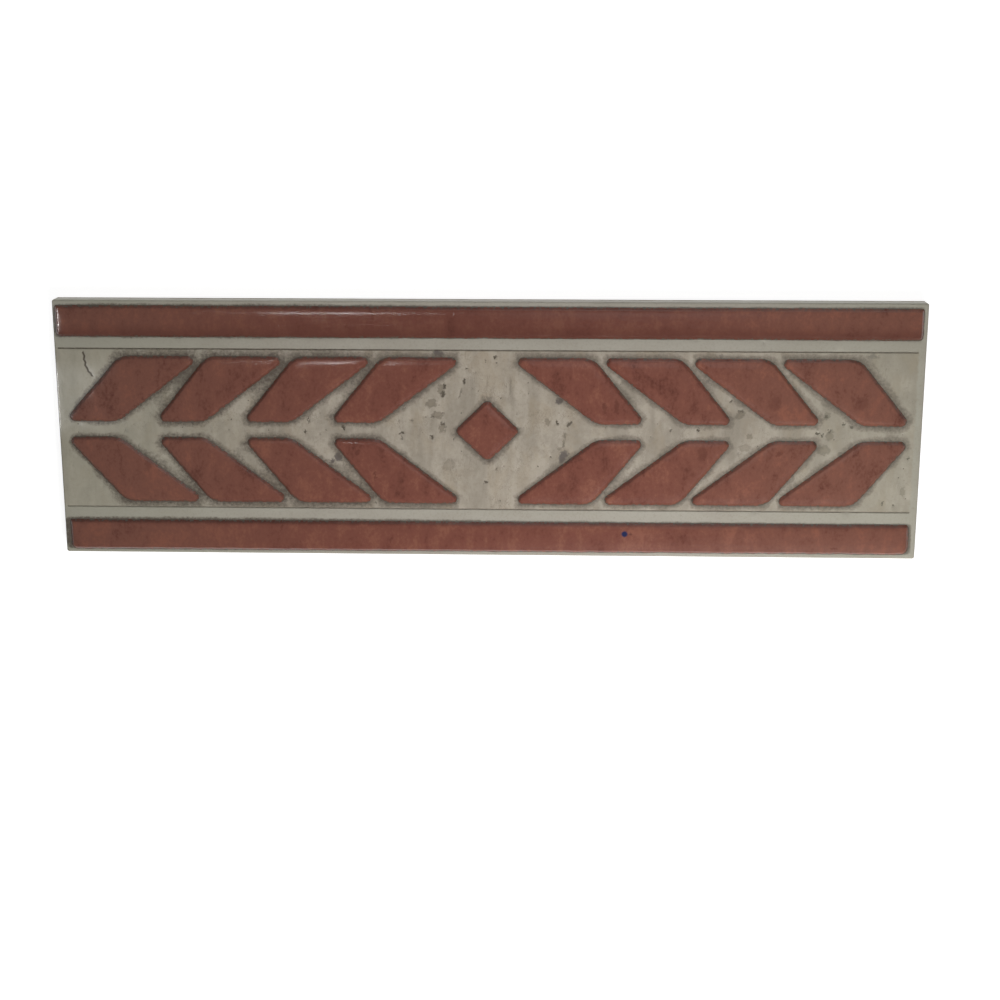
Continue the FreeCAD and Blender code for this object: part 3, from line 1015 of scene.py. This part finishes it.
def pad_blank(name, outlines, relief):
    """Flat closed blanks of raised pads: rings from foot to shoulder, a filled top and a bottom.

    The attribute inset on their points says how far each is inside its outline.
    """
    side_step, fill_step, fill_margin = 1.2 * MM, 2.2 * MM, 0.9 * MM
    ring_count, arc_steps = 11, 8
    climb = relief.foot + relief.shoulder
    ring_insets = [climb * k / (ring_count - 1) - relief.foot for k in range(ring_count)]
    points, insets, faces = [], [], []
    for corners, radii in outlines:
        rings = [rounded_ring(corners, radii, inset, side_step, arc_steps) for inset in ring_insets]
        count = len(rings[0])
        bottom = len(points)
        faces.append(tuple(reversed(range(bottom, bottom + count))))
        for inset, ring in zip(ring_insets, rings):
            points += ring
            insets += [inset] * count
        for start in range(bottom, len(points) - count, count):
            for k in range(count):
                after = (k + 1) % count
                faces.append((start + k, start + after, start + count + after, start + count + k))

        # The top is filled with a loose grid of points
        edge = len(points) - count
        fill, fill_insets = list(rings[-1]), [relief.shoulder] * count
        low_x, high_x = min(p.x for p in corners), max(p.x for p in corners)
        low_y, high_y = min(p.y for p in corners), max(p.y for p in corners)
        for row in range(int((high_y - low_y) / fill_step) + 1):
            for column in range(int((high_x - low_x) / fill_step) + 1):
                shift = 0.5 * (row % 2)
                point = Vector((low_x + (column + shift) * fill_step, low_y + row * fill_step))
                depth = inside_by(corners, point)
                if depth > relief.shoulder + fill_margin:
                    fill.append(point)
                    fill_insets.append(depth)
        _, triangles, origins = filled(fill, [], count)
        points += fill[count:]
        insets += fill_insets[count:]
        faces += [tuple(edge + origins[corner][0] for corner in face) for face in triangles]
    mesh = bpy.data.meshes.new(name)
    mesh.from_pydata([(p.x, p.y, 0.0) for p in points], [], faces)
    store(mesh, "inset", insets)
    return mesh


@built_once("Raised pads")
def raised_pads_tree(name):
    """Geometry Nodes: copies a flat pad blank along a row and its mirrors, and raises them."""
    sizes = (
        "Low", "Top", "Foot", "Shoulder", "Crown", "Unevenness", "Wobble", "Left reach", "Set low",
    )
    inputs = {
        "Blank": "Geometry", "Copies": "Int", "Pitch": "Float",
        "Mirror along": "Bool", "Mirror across": "Bool",
        **dict.fromkeys(sizes, "Float"),
        "Seed": "Int", "Glaze": "Material",
    }
    graph, given, result = new_group(name, inputs, {"Pads": "Geometry"}, "GeometryNodeTree")
    graph.tree.is_modifier = True

    def row(side_x, side_y):
        """One arm: copies in a row, turned over to its side of the tile."""
        step = graph.math("MULTIPLY", given["Pitch"], float(side_x))
        places = {"Count": given["Copies"], "Offset": graph.joined(step, 0.0, 0.0)}
        line = graph.named("GeometryNodeMeshLine", places, mode="OFFSET")
        copies = {"Points": line, "Instance": given["Blank"], "Scale": (side_x, side_y, 1.0)}
        return graph.named("GeometryNodeInstanceOnPoints", copies)

    def kept_if(test, geometry):
        """A geometry that is there only when the test is true."""
        choice = {"Switch": test, "True": geometry}
        return graph.named("GeometryNodeSwitch", choice, input_type="GEOMETRY")

    mirrored = given["Mirror along"], given["Mirror across"]
    both = graph.fed("FunctionNodeBooleanMath", *mirrored, operation="AND")[0]
    arms = graph.node("GeometryNodeJoinGeometry")
    for geometry in (
        row(1, 1),
        kept_if(given["Mirror along"], row(-1, 1)),
        kept_if(given["Mirror across"], row(1, -1)),
        kept_if(both, row(-1, -1)),
    ):
        graph.feed(arms.inputs[0], geometry)
    chance = graph.node("FunctionNodeRandomValue", data_type="FLOAT")
    graph.feed(chance.inputs["Seed"], given["Seed"])
    drawn = next(socket for socket in chance.outputs if socket.type == "VALUE")
    toned = graph.named(
        "GeometryNodeStoreNamedAttribute",
        {"Geometry": arms.outputs[0], "Name": "tone", "Value": drawn},
        data_type="FLOAT", domain="INSTANCE",
    )
    real = graph.fed("GeometryNodeRealizeInstances", toned)[0]

    # Height from the inset: a soft rise from the hollow foot to the shoulder, then a slight crown
    inset = graph.named("GeometryNodeInputNamedAttribute", {"Name": "inset"}, data_type="FLOAT")
    foot = graph.math("MULTIPLY", given["Foot"], -1.0)
    risen = graph.step(inset, foot, given["Shoulder"])
    crown_low, crown_full = 0.8 * MM, 2.4 * MM
    lower = graph.step(inset, crown_low, crown_full, 1.0, 0.0)
    crown = graph.math("MULTIPLY", given["Crown"], lower)

    # Uneven glaze on the top, and an outline that strays a little
    lump_waves, stray_waves, seed_shift = 150.0, 240.0, 3.7
    here = graph.node("GeometryNodeInputPosition").outputs[0]
    seeded = graph.math("MULTIPLY", given["Seed"], seed_shift)
    shifted = graph.vector("ADD", here, graph.joined(seeded, seeded, seeded))
    lumps = graph.math("MULTIPLY", graph.noise(shifted, (lump_waves,) * 3), given["Unevenness"])
    full = graph.math("SUBTRACT", given["Top"], graph.math("ADD", crown, lumps))
    climb = graph.math("SUBTRACT", full, given["Low"])
    height = graph.math("MULTIPLY_ADD", risen, climb, given["Low"])
    stray = graph.noise(shifted, (stray_waves,) * 3, 4.0, 0.6, 0.0, "Color")
    centred = graph.vector("SUBTRACT", stray, (0.5, 0.5, 0.5))
    stray_most, stray_none = 1.0 * MM, 3.0 * MM
    fading = graph.step(inset, stray_most, stray_none, 2.0, 0.0)
    reach = graph.math("MULTIPLY", given["Wobble"], fading)
    moved = graph.vector("MULTIPLY", centred, graph.joined(reach, reach, 0.0))
    moved_x, moved_y, _ = graph.parts(moved)

    # The leaves at the left end run out further
    along = graph.parts(here)[0]
    far_left = graph.step(along, FAR_LEFT_FROM * TILE_LOW.x, FAR_LEFT_TO * TILE_LOW.x, -1.0, 0.0)
    moved_x = graph.math("MULTIPLY_ADD", far_left, given["Left reach"], moved_x)
    moved_y = graph.math("SUBTRACT", moved_y, given["Set low"])
    raised = graph.named(
        "GeometryNodeSetPosition",
        {"Geometry": real, "Offset": graph.joined(moved_x, moved_y, height)},
    )
    smooth = graph.named("GeometryNodeSetShadeSmooth", {"Geometry": raised})
    whole = graph.fed("GeometryNodeRealizeInstances", smooth)[0]
    glazed = {"Geometry": whole, "Material": given["Glaze"]}
    graph.feed(result["Pads"], graph.named("GeometryNodeSetMaterial", glazed))
    return graph.tree


def add_piece(name, mesh):
    """A finished piece at the origin that stands for the tile's node."""
    piece = bpy.data.objects.new(name, mesh)
    bpy.context.scene.collection.objects.link(piece)
    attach(piece, TILE_BODY)
    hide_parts(TILE_NODE)


def raised_piece(name, blank, sizes):
    """A piece of raised pads: the tree is run on the blank, and its result becomes a plain mesh."""
    tree = raised_pads_tree()
    maker = bpy.data.objects.new(name + "_maker", blank)
    bpy.context.scene.collection.objects.link(maker)
    modifier = maker.modifiers.new(tree.name, "NODES")
    modifier.node_group = tree
    sockets = {
        item.name: item.identifier for item in tree.interface.items_tree if item.in_out == "INPUT"
    }
    for label, value in sizes.items():
        modifier[sockets[label]] = value
    graph = bpy.context.evaluated_depsgraph_get()
    mesh = bpy.data.meshes.new_from_object(
        maker.evaluated_get(graph), preserve_all_data_layers=True, depsgraph=graph,
    )
    maker.modifiers.remove(modifier)
    bpy.data.objects.remove(maker)
    bpy.data.meshes.remove(blank)
    mesh.name = name
    face_outwards(mesh)
    if not mesh.polygons:
        raise RuntimeError(f"the tree made no faces for {name}")
    add_piece(name, mesh)


def face_outwards(mesh):
    """Turns every face of closed shells outwards."""
    work = bmesh.new()
    work.from_mesh(mesh)
    bmesh.ops.recalc_face_normals(work, faces=work.faces)
    work.to_mesh(mesh)
    work.free()


def pad_sizes(context, **changes):
    """Inputs that all raised pads share, with those of one kind of pad."""
    tile, relief = context.scene.tile_sizes, context.scene.relief_sizes
    colours = context.scene.glaze_colours
    shared = {
        "Copies": 1, "Pitch": relief.leaf_pitch, "Mirror along": False, "Mirror across": False,
        "Low": TILE_HIGH.z - tile.relief - relief.root, "Top": TILE_HIGH.z,
        "Foot": relief.foot, "Shoulder": relief.shoulder, "Crown": relief.crown,
        "Unevenness": relief.unevenness, "Wobble": relief.wobble, "Left reach": 0.0, "Set low": 0.0,
        "Seed": 1,
        "Glaze": shared_material("gloss_terracotta", terracotta_glaze, tile, relief, colours),
    }
    shared.update(changes)
    return shared


class FaceSheet:
    """Points of a face, how deep each lies and how dirty it is, and the edges that have to stay."""

    def __init__(self):
        self.points = []
        self.depths = []
        self.dirt = []
        self.edges = []

    def add(self, point, depth=0.0, dirt=0.0):
        """A new point; gives its number."""
        self.points.append(Vector(point))
        self.depths.append(depth)
        self.dirt.append(dirt)
        return len(self.points) - 1

    def line(self, points, depth=0.0, dirt=0.0):
        """An open line of points that all lie equally deep and are equally dirty."""
        numbers = [self.add(point, depth, dirt) for point in points]
        self.edges += zip(numbers, numbers[1:])
        return numbers

    def ring(self, points, depth=0.0, dirt=0.0):
        """The same as a line, closed."""
        numbers = self.line(points, depth, dirt)
        self.edges.append((numbers[-1], numbers[0]))

    def nearest(self):
        """A search tree over the points so far."""
        tree = KDTree(len(self.points))
        for number, point in enumerate(self.points):
            tree.insert((point.x, point.y, 0.0), number)
        tree.balance()
        return tree


def oval(mark, share, draw, count):
    """Points round an uneven oval, at a share of its size."""
    turn = math.radians(mark.turn)
    points = []
    for k in range(count):
        angle = 2 * math.pi * k / count
        x = mark.length / 2 * math.cos(angle) * draw[k] * share
        y = mark.width / 2 * math.sin(angle) * draw[k] * share
        points.append(Vector((
            mark.x + x * math.cos(turn) - y * math.sin(turn),
            mark.y + x * math.sin(turn) + y * math.cos(turn),
        )) * MM)
    return points


def add_pit(sheet, mark, depth, dirt, chance, count=12):
    """A pit: two rings and a middle, each deeper, with some dirt at the bottom."""
    floor_share, floor_depth, floor_dirt = 0.6, 0.65, 0.6
    draw = [chance.uniform(0.78, 1.12) for _ in range(count)]
    sheet.ring(oval(mark, 1.0, draw, count))
    sheet.ring(oval(mark, floor_share, draw, count), floor_depth * depth, floor_dirt * dirt)
    sheet.add((mark.x * MM, mark.y * MM), depth, dirt)


def add_crack(sheet, places, strength):
    """A hairline crack: a dark line between two clean ones that meet at its ends."""
    width, depth = 1.2 * MM, 0.16 * MM
    middle = [Vector(point) * MM for point in places]
    ends = [sheet.add(middle[0]), sheet.add(middle[-1])]
    across = []
    for k in range(1, len(middle) - 1):
        along = (middle[k + 1] - middle[k - 1]).normalized()
        across.append(Vector((-along.y, along.x)) * width / 2)
    for side in (1, 0, -1):
        points = [point + step * side for point, step in zip(middle[1:-1], across)]
        numbers = sheet.line(points) if side else sheet.line(points, depth, strength)
        sheet.edges += [(ends[0], numbers[0]), (numbers[-1], ends[1])]


def add_scored_line(sheet, tile, y):
    """A V-shaped line scored along the face, closed at both ends."""
    left, right = tile.line_left - tile.length / 2, tile.length / 2 - tile.line_right
    steps, end_taper = 120, 0.4 * MM
    half = tile.line_width / 2
    lines = []
    for side in (1, 0, -1):
        taper = 0.0 if side else end_taper
        first = Vector((left + taper, y + side * half))
        last = Vector((right - taper, y + side * half))
        points = [first.lerp(last, k / steps) for k in range(steps + 1)]
        lines.append(sheet.line(points, 0.0 if side else tile.line_depth))
    upper, _, lower = lines
    sheet.edges += [(upper[0], lower[0]), (upper[-1], lower[-1])]


class RaisedOutlines:
    """Plan outlines of the leaf pads and the diamond, to keep small pits clear of them."""

    def __init__(self, tile, relief):
        first = leaf_corners(tile, relief)
        self.outlines = []
        for k in range(relief.leaves):
            shift = Vector((relief.leaf_pitch * k, 0.0))
            self.outlines.append([corner + shift for corner in first])
        self.outlines.append(diamond_corners(relief))

    def clear_of(self, point, gap):
        """True where a point lies at least the gap outside every pad."""
        folded = Vector((abs(point.x), abs(point.y)))
        return all(inside_by(outline, folded) < -gap for outline in self.outlines)


def diamond_corners(relief):
    """Corners of the centre diamond, anticlockwise."""
    reach_x, reach_y = relief.diamond_length / 2, relief.diamond_width / 2
    return [Vector((reach_x, 0)), Vector((0, reach_y)), Vector((-reach_x, 0)), Vector((0, -reach_y))]


def wave(point, waviness):
    """How far the pressed face dips at a point."""
    waves, layer = 28, 4.2
    swing = noise.noise(Vector((point.x * waves, point.y * waves, layer)))
    return waviness * 0.5 * (1 + max(-1.0, min(1.0, swing)))


def face_sheet(tile, relief, ring):
    """The tile's face inside its boundary ring, with its scored lines, pits and cracks."""
    chance = random.Random(FACE_SEED)
    sheet = FaceSheet()
    sheet.ring(ring)
    line_y = scored_line_y(tile, relief)
    full_depth_width = 0.9
    for y in (line_y, -line_y):
        add_scored_line(sheet, tile, y)
    for mark in PITS:
        add_pit(sheet, mark, tile.pit_depth * min(1.0, mark.width / full_depth_width), 0.0, chance)
    for strength, places in CRACKS:
        add_crack(sheet, places, strength)

    # Small pits wherever the field has room for them
    end_margin, line_margin, tries = 4 * MM, 1.6 * MM, 12
    mark_gap, pit_gap, pad_gap = 2.2 * MM, 3.0 * MM, 1.2 * MM
    shallow, stretch, sides = 0.4, 1.5, 8
    outlines = RaisedOutlines(tile, relief)
    taken = sheet.nearest()
    half_x, half_y = tile.length / 2 - end_margin, line_y - line_margin
    placed = []
    for _ in range(tile.small_pits * tries):
        point = Vector((chance.uniform(-half_x, half_x), chance.uniform(-half_y, half_y)))
        size = chance.uniform(0.35, 0.85)
        mark = Mark(point.x / MM, point.y / MM, stretch * size, size, chance.uniform(40, 140))
        free = taken.find((point.x, point.y, 0.0))[2] > mark_gap
        apart = all((point - other).length > pit_gap for other in placed)
        if free and apart and outlines.clear_of(point, pad_gap) and len(placed) < tile.small_pits:
            placed.append(point)
            dirt = chance.uniform(0.2, 0.8)
            add_pit(sheet, mark, shallow * tile.pit_depth, dirt, chance, sides)

    # Filling points carry the waviness between the marks
    step, stray, edge_margin, point_gap = 2.6 * MM, 0.2, 2.2 * MM, 0.9 * MM
    taken = sheet.nearest()
    columns, rows = int(tile.length / step), int(tile.width / step)
    reach_x, reach_y = tile.length / 2 - edge_margin, tile.width / 2 - edge_margin
    for row in range(rows + 1):
        for column in range(columns + 1):
            point = Vector((
                (column - columns / 2 + chance.uniform(-stray, stray)) * step,
                (row - rows / 2 + chance.uniform(-stray, stray)) * step,
            ))
            within = abs(point.x) < reach_x and abs(point.y) < reach_y
            if within and taken.find((point.x, point.y, 0.0))[2] > point_gap:
                sheet.add(point)
    return sheet


class Shell:
    """Points and faces of the body as they are added, with what each point and face carries."""

    def __init__(self):
        self.points = []
        self.faces = []
        self.clay = []
        self.dirt = []

    def add(self, points, dirt=None):
        """New points, clean unless their dirt is given; gives their numbers."""
        first = len(self.points)
        self.points += points
        self.dirt += dirt or [0.0] * len(points)
        return list(range(first, len(self.points)))

    def face(self, corners, clay):
        """One face, of bare clay or glazed."""
        self.faces.append(tuple(corners))
        self.clay.append(1 if clay else 0)

    def band(self, upper, lower, clay):
        """Faces between two rings, the first above the second."""
        for k in range(len(upper)):
            after = (k + 1) % len(upper)
            self.face((upper[k], lower[k], lower[after], upper[after]), clay)


def channel_ring(tile, y, inset):
    """Points round one channel in the back, with round ends."""
    side_step, arc_steps, nearly_half = 12 * MM, 6, 0.999
    half = tile.channel_width / 2
    reach = tile.length / 2 - tile.channel_end_margin
    corners = rectangle(-reach, reach, y - half, y + half)
    return rounded_ring(corners, [half * nearly_half] * 4, inset, side_step, arc_steps)


def body_mesh(tile, relief):
    """The slab as one closed mesh: face, arris, sides, chamfer and back with its channels."""
    shell = Shell()
    top = TILE_HIGH.z - tile.relief
    half_length, half_width = tile.length / 2, tile.width / 2
    corners = rectangle(-half_length, half_length, -half_width, half_width)
    radii = [tile.plan_corner] * 4
    side_step, corner_steps = 2.4 * MM, 6

    def ring(inset):
        """Points of the tile's outline, set in."""
        return rounded_ring(corners, radii, inset, side_step, corner_steps)

    # The face
    rim = ring(tile.face_arris)
    sheet = face_sheet(tile, relief, rim)
    found, triangles, origins = filled(sheet.points, sheet.edges, len(rim))
    nearest = sheet.nearest()
    sources = [
        origin[0] if origin else nearest.find((point.x, point.y, 0.0))[1]
        for point, origin in zip(found, origins)
    ]
    numbers = shell.add(
        [
            Vector((point.x, point.y, top - wave(point, tile.waviness) - sheet.depths[source]))
            for point, source in zip(found, sources)
        ],
        [sheet.dirt[source] for source in sources],
    )
    for corner_numbers in triangles:
        shell.face([numbers[k] for k in corner_numbers], False)
    place_of = {source: numbers[k] for k, source in enumerate(sources)}
    above = [place_of[k] for k in range(len(rim))]

    # The arris, the sides and the chamfer, ring by ring on the way down
    arris_steps = 5
    for k in range(1, arris_steps + 1):
        angle = math.pi / 2 * k / arris_steps
        drop = tile.face_arris * (1 - math.cos(angle))
        points = ring(tile.face_arris * (1 - math.sin(angle)))
        fade = 1 - k / arris_steps
        below = shell.add([
            Vector((p.x, p.y, top - drop - fade * wave(q, tile.waviness)))
            for p, q in zip(points, rim)
        ])
        shell.band(above, below, False)
        above = below
    upper_share, lower_share = 0.66, 0.4
    for height in (upper_share * top, lower_share * top, tile.back_chamfer):
        below = shell.add([Vector((p.x, p.y, height)) for p in ring(0.0)])
        shell.band(above, below, False)
        above = below
    land = ring(tile.back_chamfer)
    below = shell.add([Vector((p.x, p.y, 0.0)) for p in land])
    shell.band(above, below, True)

    # The back and its channels
    wall_draft = 0.3 * MM
    back = FaceSheet()
    back.ring(land)
    for k in range(tile.channels):
        y = (k - (tile.channels - 1) / 2) * tile.channel_pitch
        back.ring(channel_ring(tile, y, 0.0))
        back.ring(channel_ring(tile, y, wall_draft), tile.channel_depth)
    found, triangles, origins = filled(back.points, back.edges, len(land))
    if len(found) != len(back.points):
        raise RuntimeError("the channels of the back run into each other")
    inner = [k for k in range(len(found)) if origins[k][0] >= len(land)]
    added = shell.add([Vector((found[k].x, found[k].y, back.depths[origins[k][0]])) for k in inner])
    number_of = dict(zip(inner, added))
    for k, origin in enumerate(origins):
        if origin[0] < len(land):
            number_of[k] = below[origin[0]]
    for corner_numbers in triangles:
        shell.face([number_of[k] for k in reversed(corner_numbers)], True)
    return shell


def shell_to_mesh(shell, name, materials):
    """A mesh of a shell, with its dirt as an attribute and its two materials."""
    mesh = bpy.data.meshes.new(name)
    mesh.from_pydata(shell.points, [], shell.faces)
    for material in materials:
        mesh.materials.append(material)
    mesh.polygons.foreach_set("material_index", shell.clay)
    store(mesh, "crack", shell.dirt)
    face_outwards(mesh)
    mesh.shade_smooth()
    sharp_angle = math.radians(38)
    mesh.set_sharp_from_angle(angle=sharp_angle)
    return mesh


class TILE_OT_body(bpy.types.Operator):
    """Make the cream body: face, rim, sides and keyed back"""

    bl_idname = "tile.body"
    bl_label = "Tile body"

    def execute(self, context):
        tile, relief = context.scene.tile_sizes, context.scene.relief_sizes
        colours = context.scene.glaze_colours
        materials = [
            shared_material("cream_stone", cream_glaze, tile, relief, colours),
            shared_material("bare_biscuit", biscuit, colours),
        ]
        mesh = shell_to_mesh(body_mesh(tile, relief), "tile_body", materials)
        add_piece("tile_body", mesh)
        return {"FINISHED"}


class TILE_OT_edge_bars(bpy.types.Operator):
    """Make the two raised bars along the long edges"""

    bl_idname = "tile.edge_bars"
    bl_label = "Edge bars"

    def execute(self, context):
        tile, relief = context.scene.tile_sizes, context.scene.relief_sizes
        outer = tile.width / 2 - relief.bar_side_margin
        inner = outer - relief.bar_width
        half = tile.length / 2
        upper = rectangle(relief.upper_bar_left - half, half - relief.upper_bar_right, inner, outer)
        lower = rectangle(relief.bar_end_margin - half, half - relief.lower_bar_right, -outer, -inner)
        for corner in lower[2:]:
            corner.y -= relief.lower_bar_drop
        # Corner rounds from the lower right one on, as shares of the usual round
        upper_radii = [share * relief.bar_corner for share in (0.6, 0.35, 0.35, 1.0)]
        lower_radii = [share * relief.bar_corner for share in (1.5, 1.0, 0.4, 1.2)]
        blank = pad_blank("bar_blank", [(upper, upper_radii), (lower, lower_radii)], relief)
        sizes = pad_sizes(context, **{"Seed": 3, "Set low": 0.5 * relief.set_low})
        raised_piece("edge_bars", blank, sizes)
        return {"FINISHED"}


class TILE_OT_leaf_pads(bpy.types.Operator):
    """Make the four arms of raised leaf pads"""

    bl_idname = "tile.leaf_pads"
    bl_label = "Leaf pads"

    def execute(self, context):
        tile, relief = context.scene.tile_sizes, context.scene.relief_sizes
        radii = [relief.leaf_tip_round, relief.leaf_bend_round] * 2
        blank = pad_blank("leaf_blank", [(leaf_corners(tile, relief), radii)], relief)
        sizes = pad_sizes(context, **{
            "Copies": relief.leaves, "Mirror along": True, "Mirror across": True, "Seed": 5,
            "Left reach": relief.left_reach, "Set low": relief.set_low,
        })
        raised_piece("leaf_pads", blank, sizes)
        return {"FINISHED"}


class TILE_OT_centre_diamond(bpy.types.Operator):
    """Make the raised diamond at the middle of the pattern"""

    bl_idname = "tile.centre_diamond"
    bl_label = "Centre diamond"

    def execute(self, context):
        relief = context.scene.relief_sizes
        rounds = [relief.diamond_corner] * 3 + [relief.diamond_low_corner]
        outline = (diamond_corners(relief), rounds)
        blank = pad_blank("diamond_blank", [outline], relief)
        sizes = pad_sizes(context, **{"Seed": 7, "Set low": 0.5 * relief.set_low})
        raised_piece("centre_diamond", blank, sizes)
        return {"FINISHED"}


def floor_material(stage):
    """Pale floor that reads as white paper and still takes the tile's shadow."""
    material = bpy.data.materials.new("pale_floor")
    graph = empty_graph(material)
    lit = graph.named("ShaderNodeBsdfDiffuse", {"Color": [stage.floor_grey] * 3})
    ray = graph.node("ShaderNodeLightPath").outputs
    seen = [ray[name] for name in ("Is Camera Ray", "Is Glossy Ray", "Is Transmission Ray")]
    strength = graph.math("MULTIPLY", graph.chain("MAXIMUM", seen), stage.floor_glow)
    glow = graph.named("ShaderNodeEmission", {"Strength": strength})
    both = graph.fed("ShaderNodeAddShader", lit, glow)[0]
    graph.fed("ShaderNodeOutputMaterial", both)
    return material


def surround_light(scene, level):
    """Even light from all round, which the camera sees as white."""
    scene.world = bpy.data.worlds.new("studio")
    graph = empty_graph(scene.world)
    ray = graph.node("ShaderNodeLightPath").outputs
    strength = graph.math("MULTIPLY_ADD", ray["Is Camera Ray"], 1.0 - level, level)
    light = {"Color": (1.0, 1.0, 1.0), "Strength": strength}
    graph.fed("ShaderNodeOutputWorld", graph.named("ShaderNodeBackground", light))


def looking(at, aim):
    """Turn and place of something at one point that looks at another, with +Y upwards."""
    forward = (Vector(aim) - Vector(at)).normalized()
    right = forward.cross(Vector((0, 1, 0))).normalized()
    turn = Matrix((right, right.cross(forward), -forward)).transposed()
    return Matrix.Translation(at) @ turn.to_4x4()


def add_lamp(scene, stage, name, for_gloss):
    """A square soft lamp from its settings, either to light the tile or to show in its gloss.

    Its settings start as its name does. One without an aim or a beam faces the middle of the tile
    and shines all round.
    """
    start = name[:name.rindex("_")]
    data = bpy.data.lights.new(name, "AREA")
    data.size = getattr(stage, start + "_size")
    data.energy = getattr(stage, start + "_power")
    data.spread = getattr(stage, start + "_beam", math.pi)
    lamp = bpy.data.objects.new(name, data)
    aim = getattr(stage, start + "_aim", (0, 0, 0))
    lamp.matrix_world = looking(getattr(stage, start + "_at"), aim)
    lamp.visible_glossy = for_gloss
    lamp.visible_diffuse = not for_gloss
    scene.collection.objects.link(lamp)


class TILE_OT_stage(bpy.types.Operator):
    """Set the floor, the lamps and the camera"""

    bl_idname = "tile.stage"
    bl_label = "Stage"

    def execute(self, context):
        scene, stage = context.scene, context.scene.stage_settings
        half = stage.floor_side / 2
        corners = [(x * half, y * half, 0) for x, y in ((-1, -1), (1, -1), (1, 1), (-1, 1))]
        mesh = bpy.data.meshes.new("floor")
        mesh.from_pydata(corners, [], [(0, 1, 2, 3)])
        mesh.materials.append(floor_material(stage))
        floor = bpy.data.objects.new("floor", mesh)
        scene.collection.objects.link(floor)
        surround_light(scene, stage.surround)
        for name in LIGHTING_LAMPS:
            add_lamp(scene, stage, name, False)
        for name in GLOSS_LAMPS:
            add_lamp(scene, stage, name, True)
        data = bpy.data.cameras.new("camera")
        data.lens = stage.camera_lens
        data.sensor_width = SENSOR_WIDTH
        camera = bpy.data.objects.new("camera", data)
        camera.matrix_world = looking(stage.camera_at, stage.camera_aim)
        scene.collection.objects.link(camera)
        scene.camera = camera
        scene.view_settings.view_transform = "Standard"
        return {"FINISHED"}


class TILE_PT_maker(bpy.types.Panel):
    """Lists the steps that make the tile, and the sizes and colours they use"""

    bl_label = "Border tile"
    bl_space_type = "VIEW_3D"
    bl_region_type = "UI"
    bl_category = "Border Tile"

    def draw(self, context):
        for operator in OPERATORS:
            self.layout.operator(operator.bl_idname)
        for holder in SETTINGS:
            group = getattr(context.scene, holder)
            box = self.layout.box()
            for name in group.__annotations__:
                box.prop(group, name)


SETTINGS = {
    "tile_sizes": TileSizes,
    "relief_sizes": ReliefSizes,
    "glaze_colours": GlazeColours,
    "stage_settings": StageSettings,
}
OPERATORS = (
    TILE_OT_body,
    TILE_OT_edge_bars,
    TILE_OT_leaf_pads,
    TILE_OT_centre_diamond,
    TILE_OT_stage,
)


def register():
    """Registers the settings, the operators and the panel."""
    for holder, settings in SETTINGS.items():
        bpy.utils.register_class(settings)
        setattr(bpy.types.Scene, holder, PointerProperty(type=settings))
    for operator in OPERATORS:
        bpy.utils.register_class(operator)
    bpy.utils.register_class(TILE_PT_maker)


def unregister():
    """Takes the panel, the operators and the settings away again."""
    bpy.utils.unregister_class(TILE_PT_maker)
    for operator in reversed(OPERATORS):
        bpy.utils.unregister_class(operator)
    for holder, settings in reversed(SETTINGS.items()):
        delattr(bpy.types.Scene, holder)
        bpy.utils.unregister_class(settings)


def main():
    """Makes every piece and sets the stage."""
    register()
    bpy.ops.tile.body()
    bpy.ops.tile.edge_bars()
    bpy.ops.tile.leaf_pads()
    bpy.ops.tile.centre_diamond()
    bpy.ops.tile.stage()


if __name__ == "__main__":
    main()
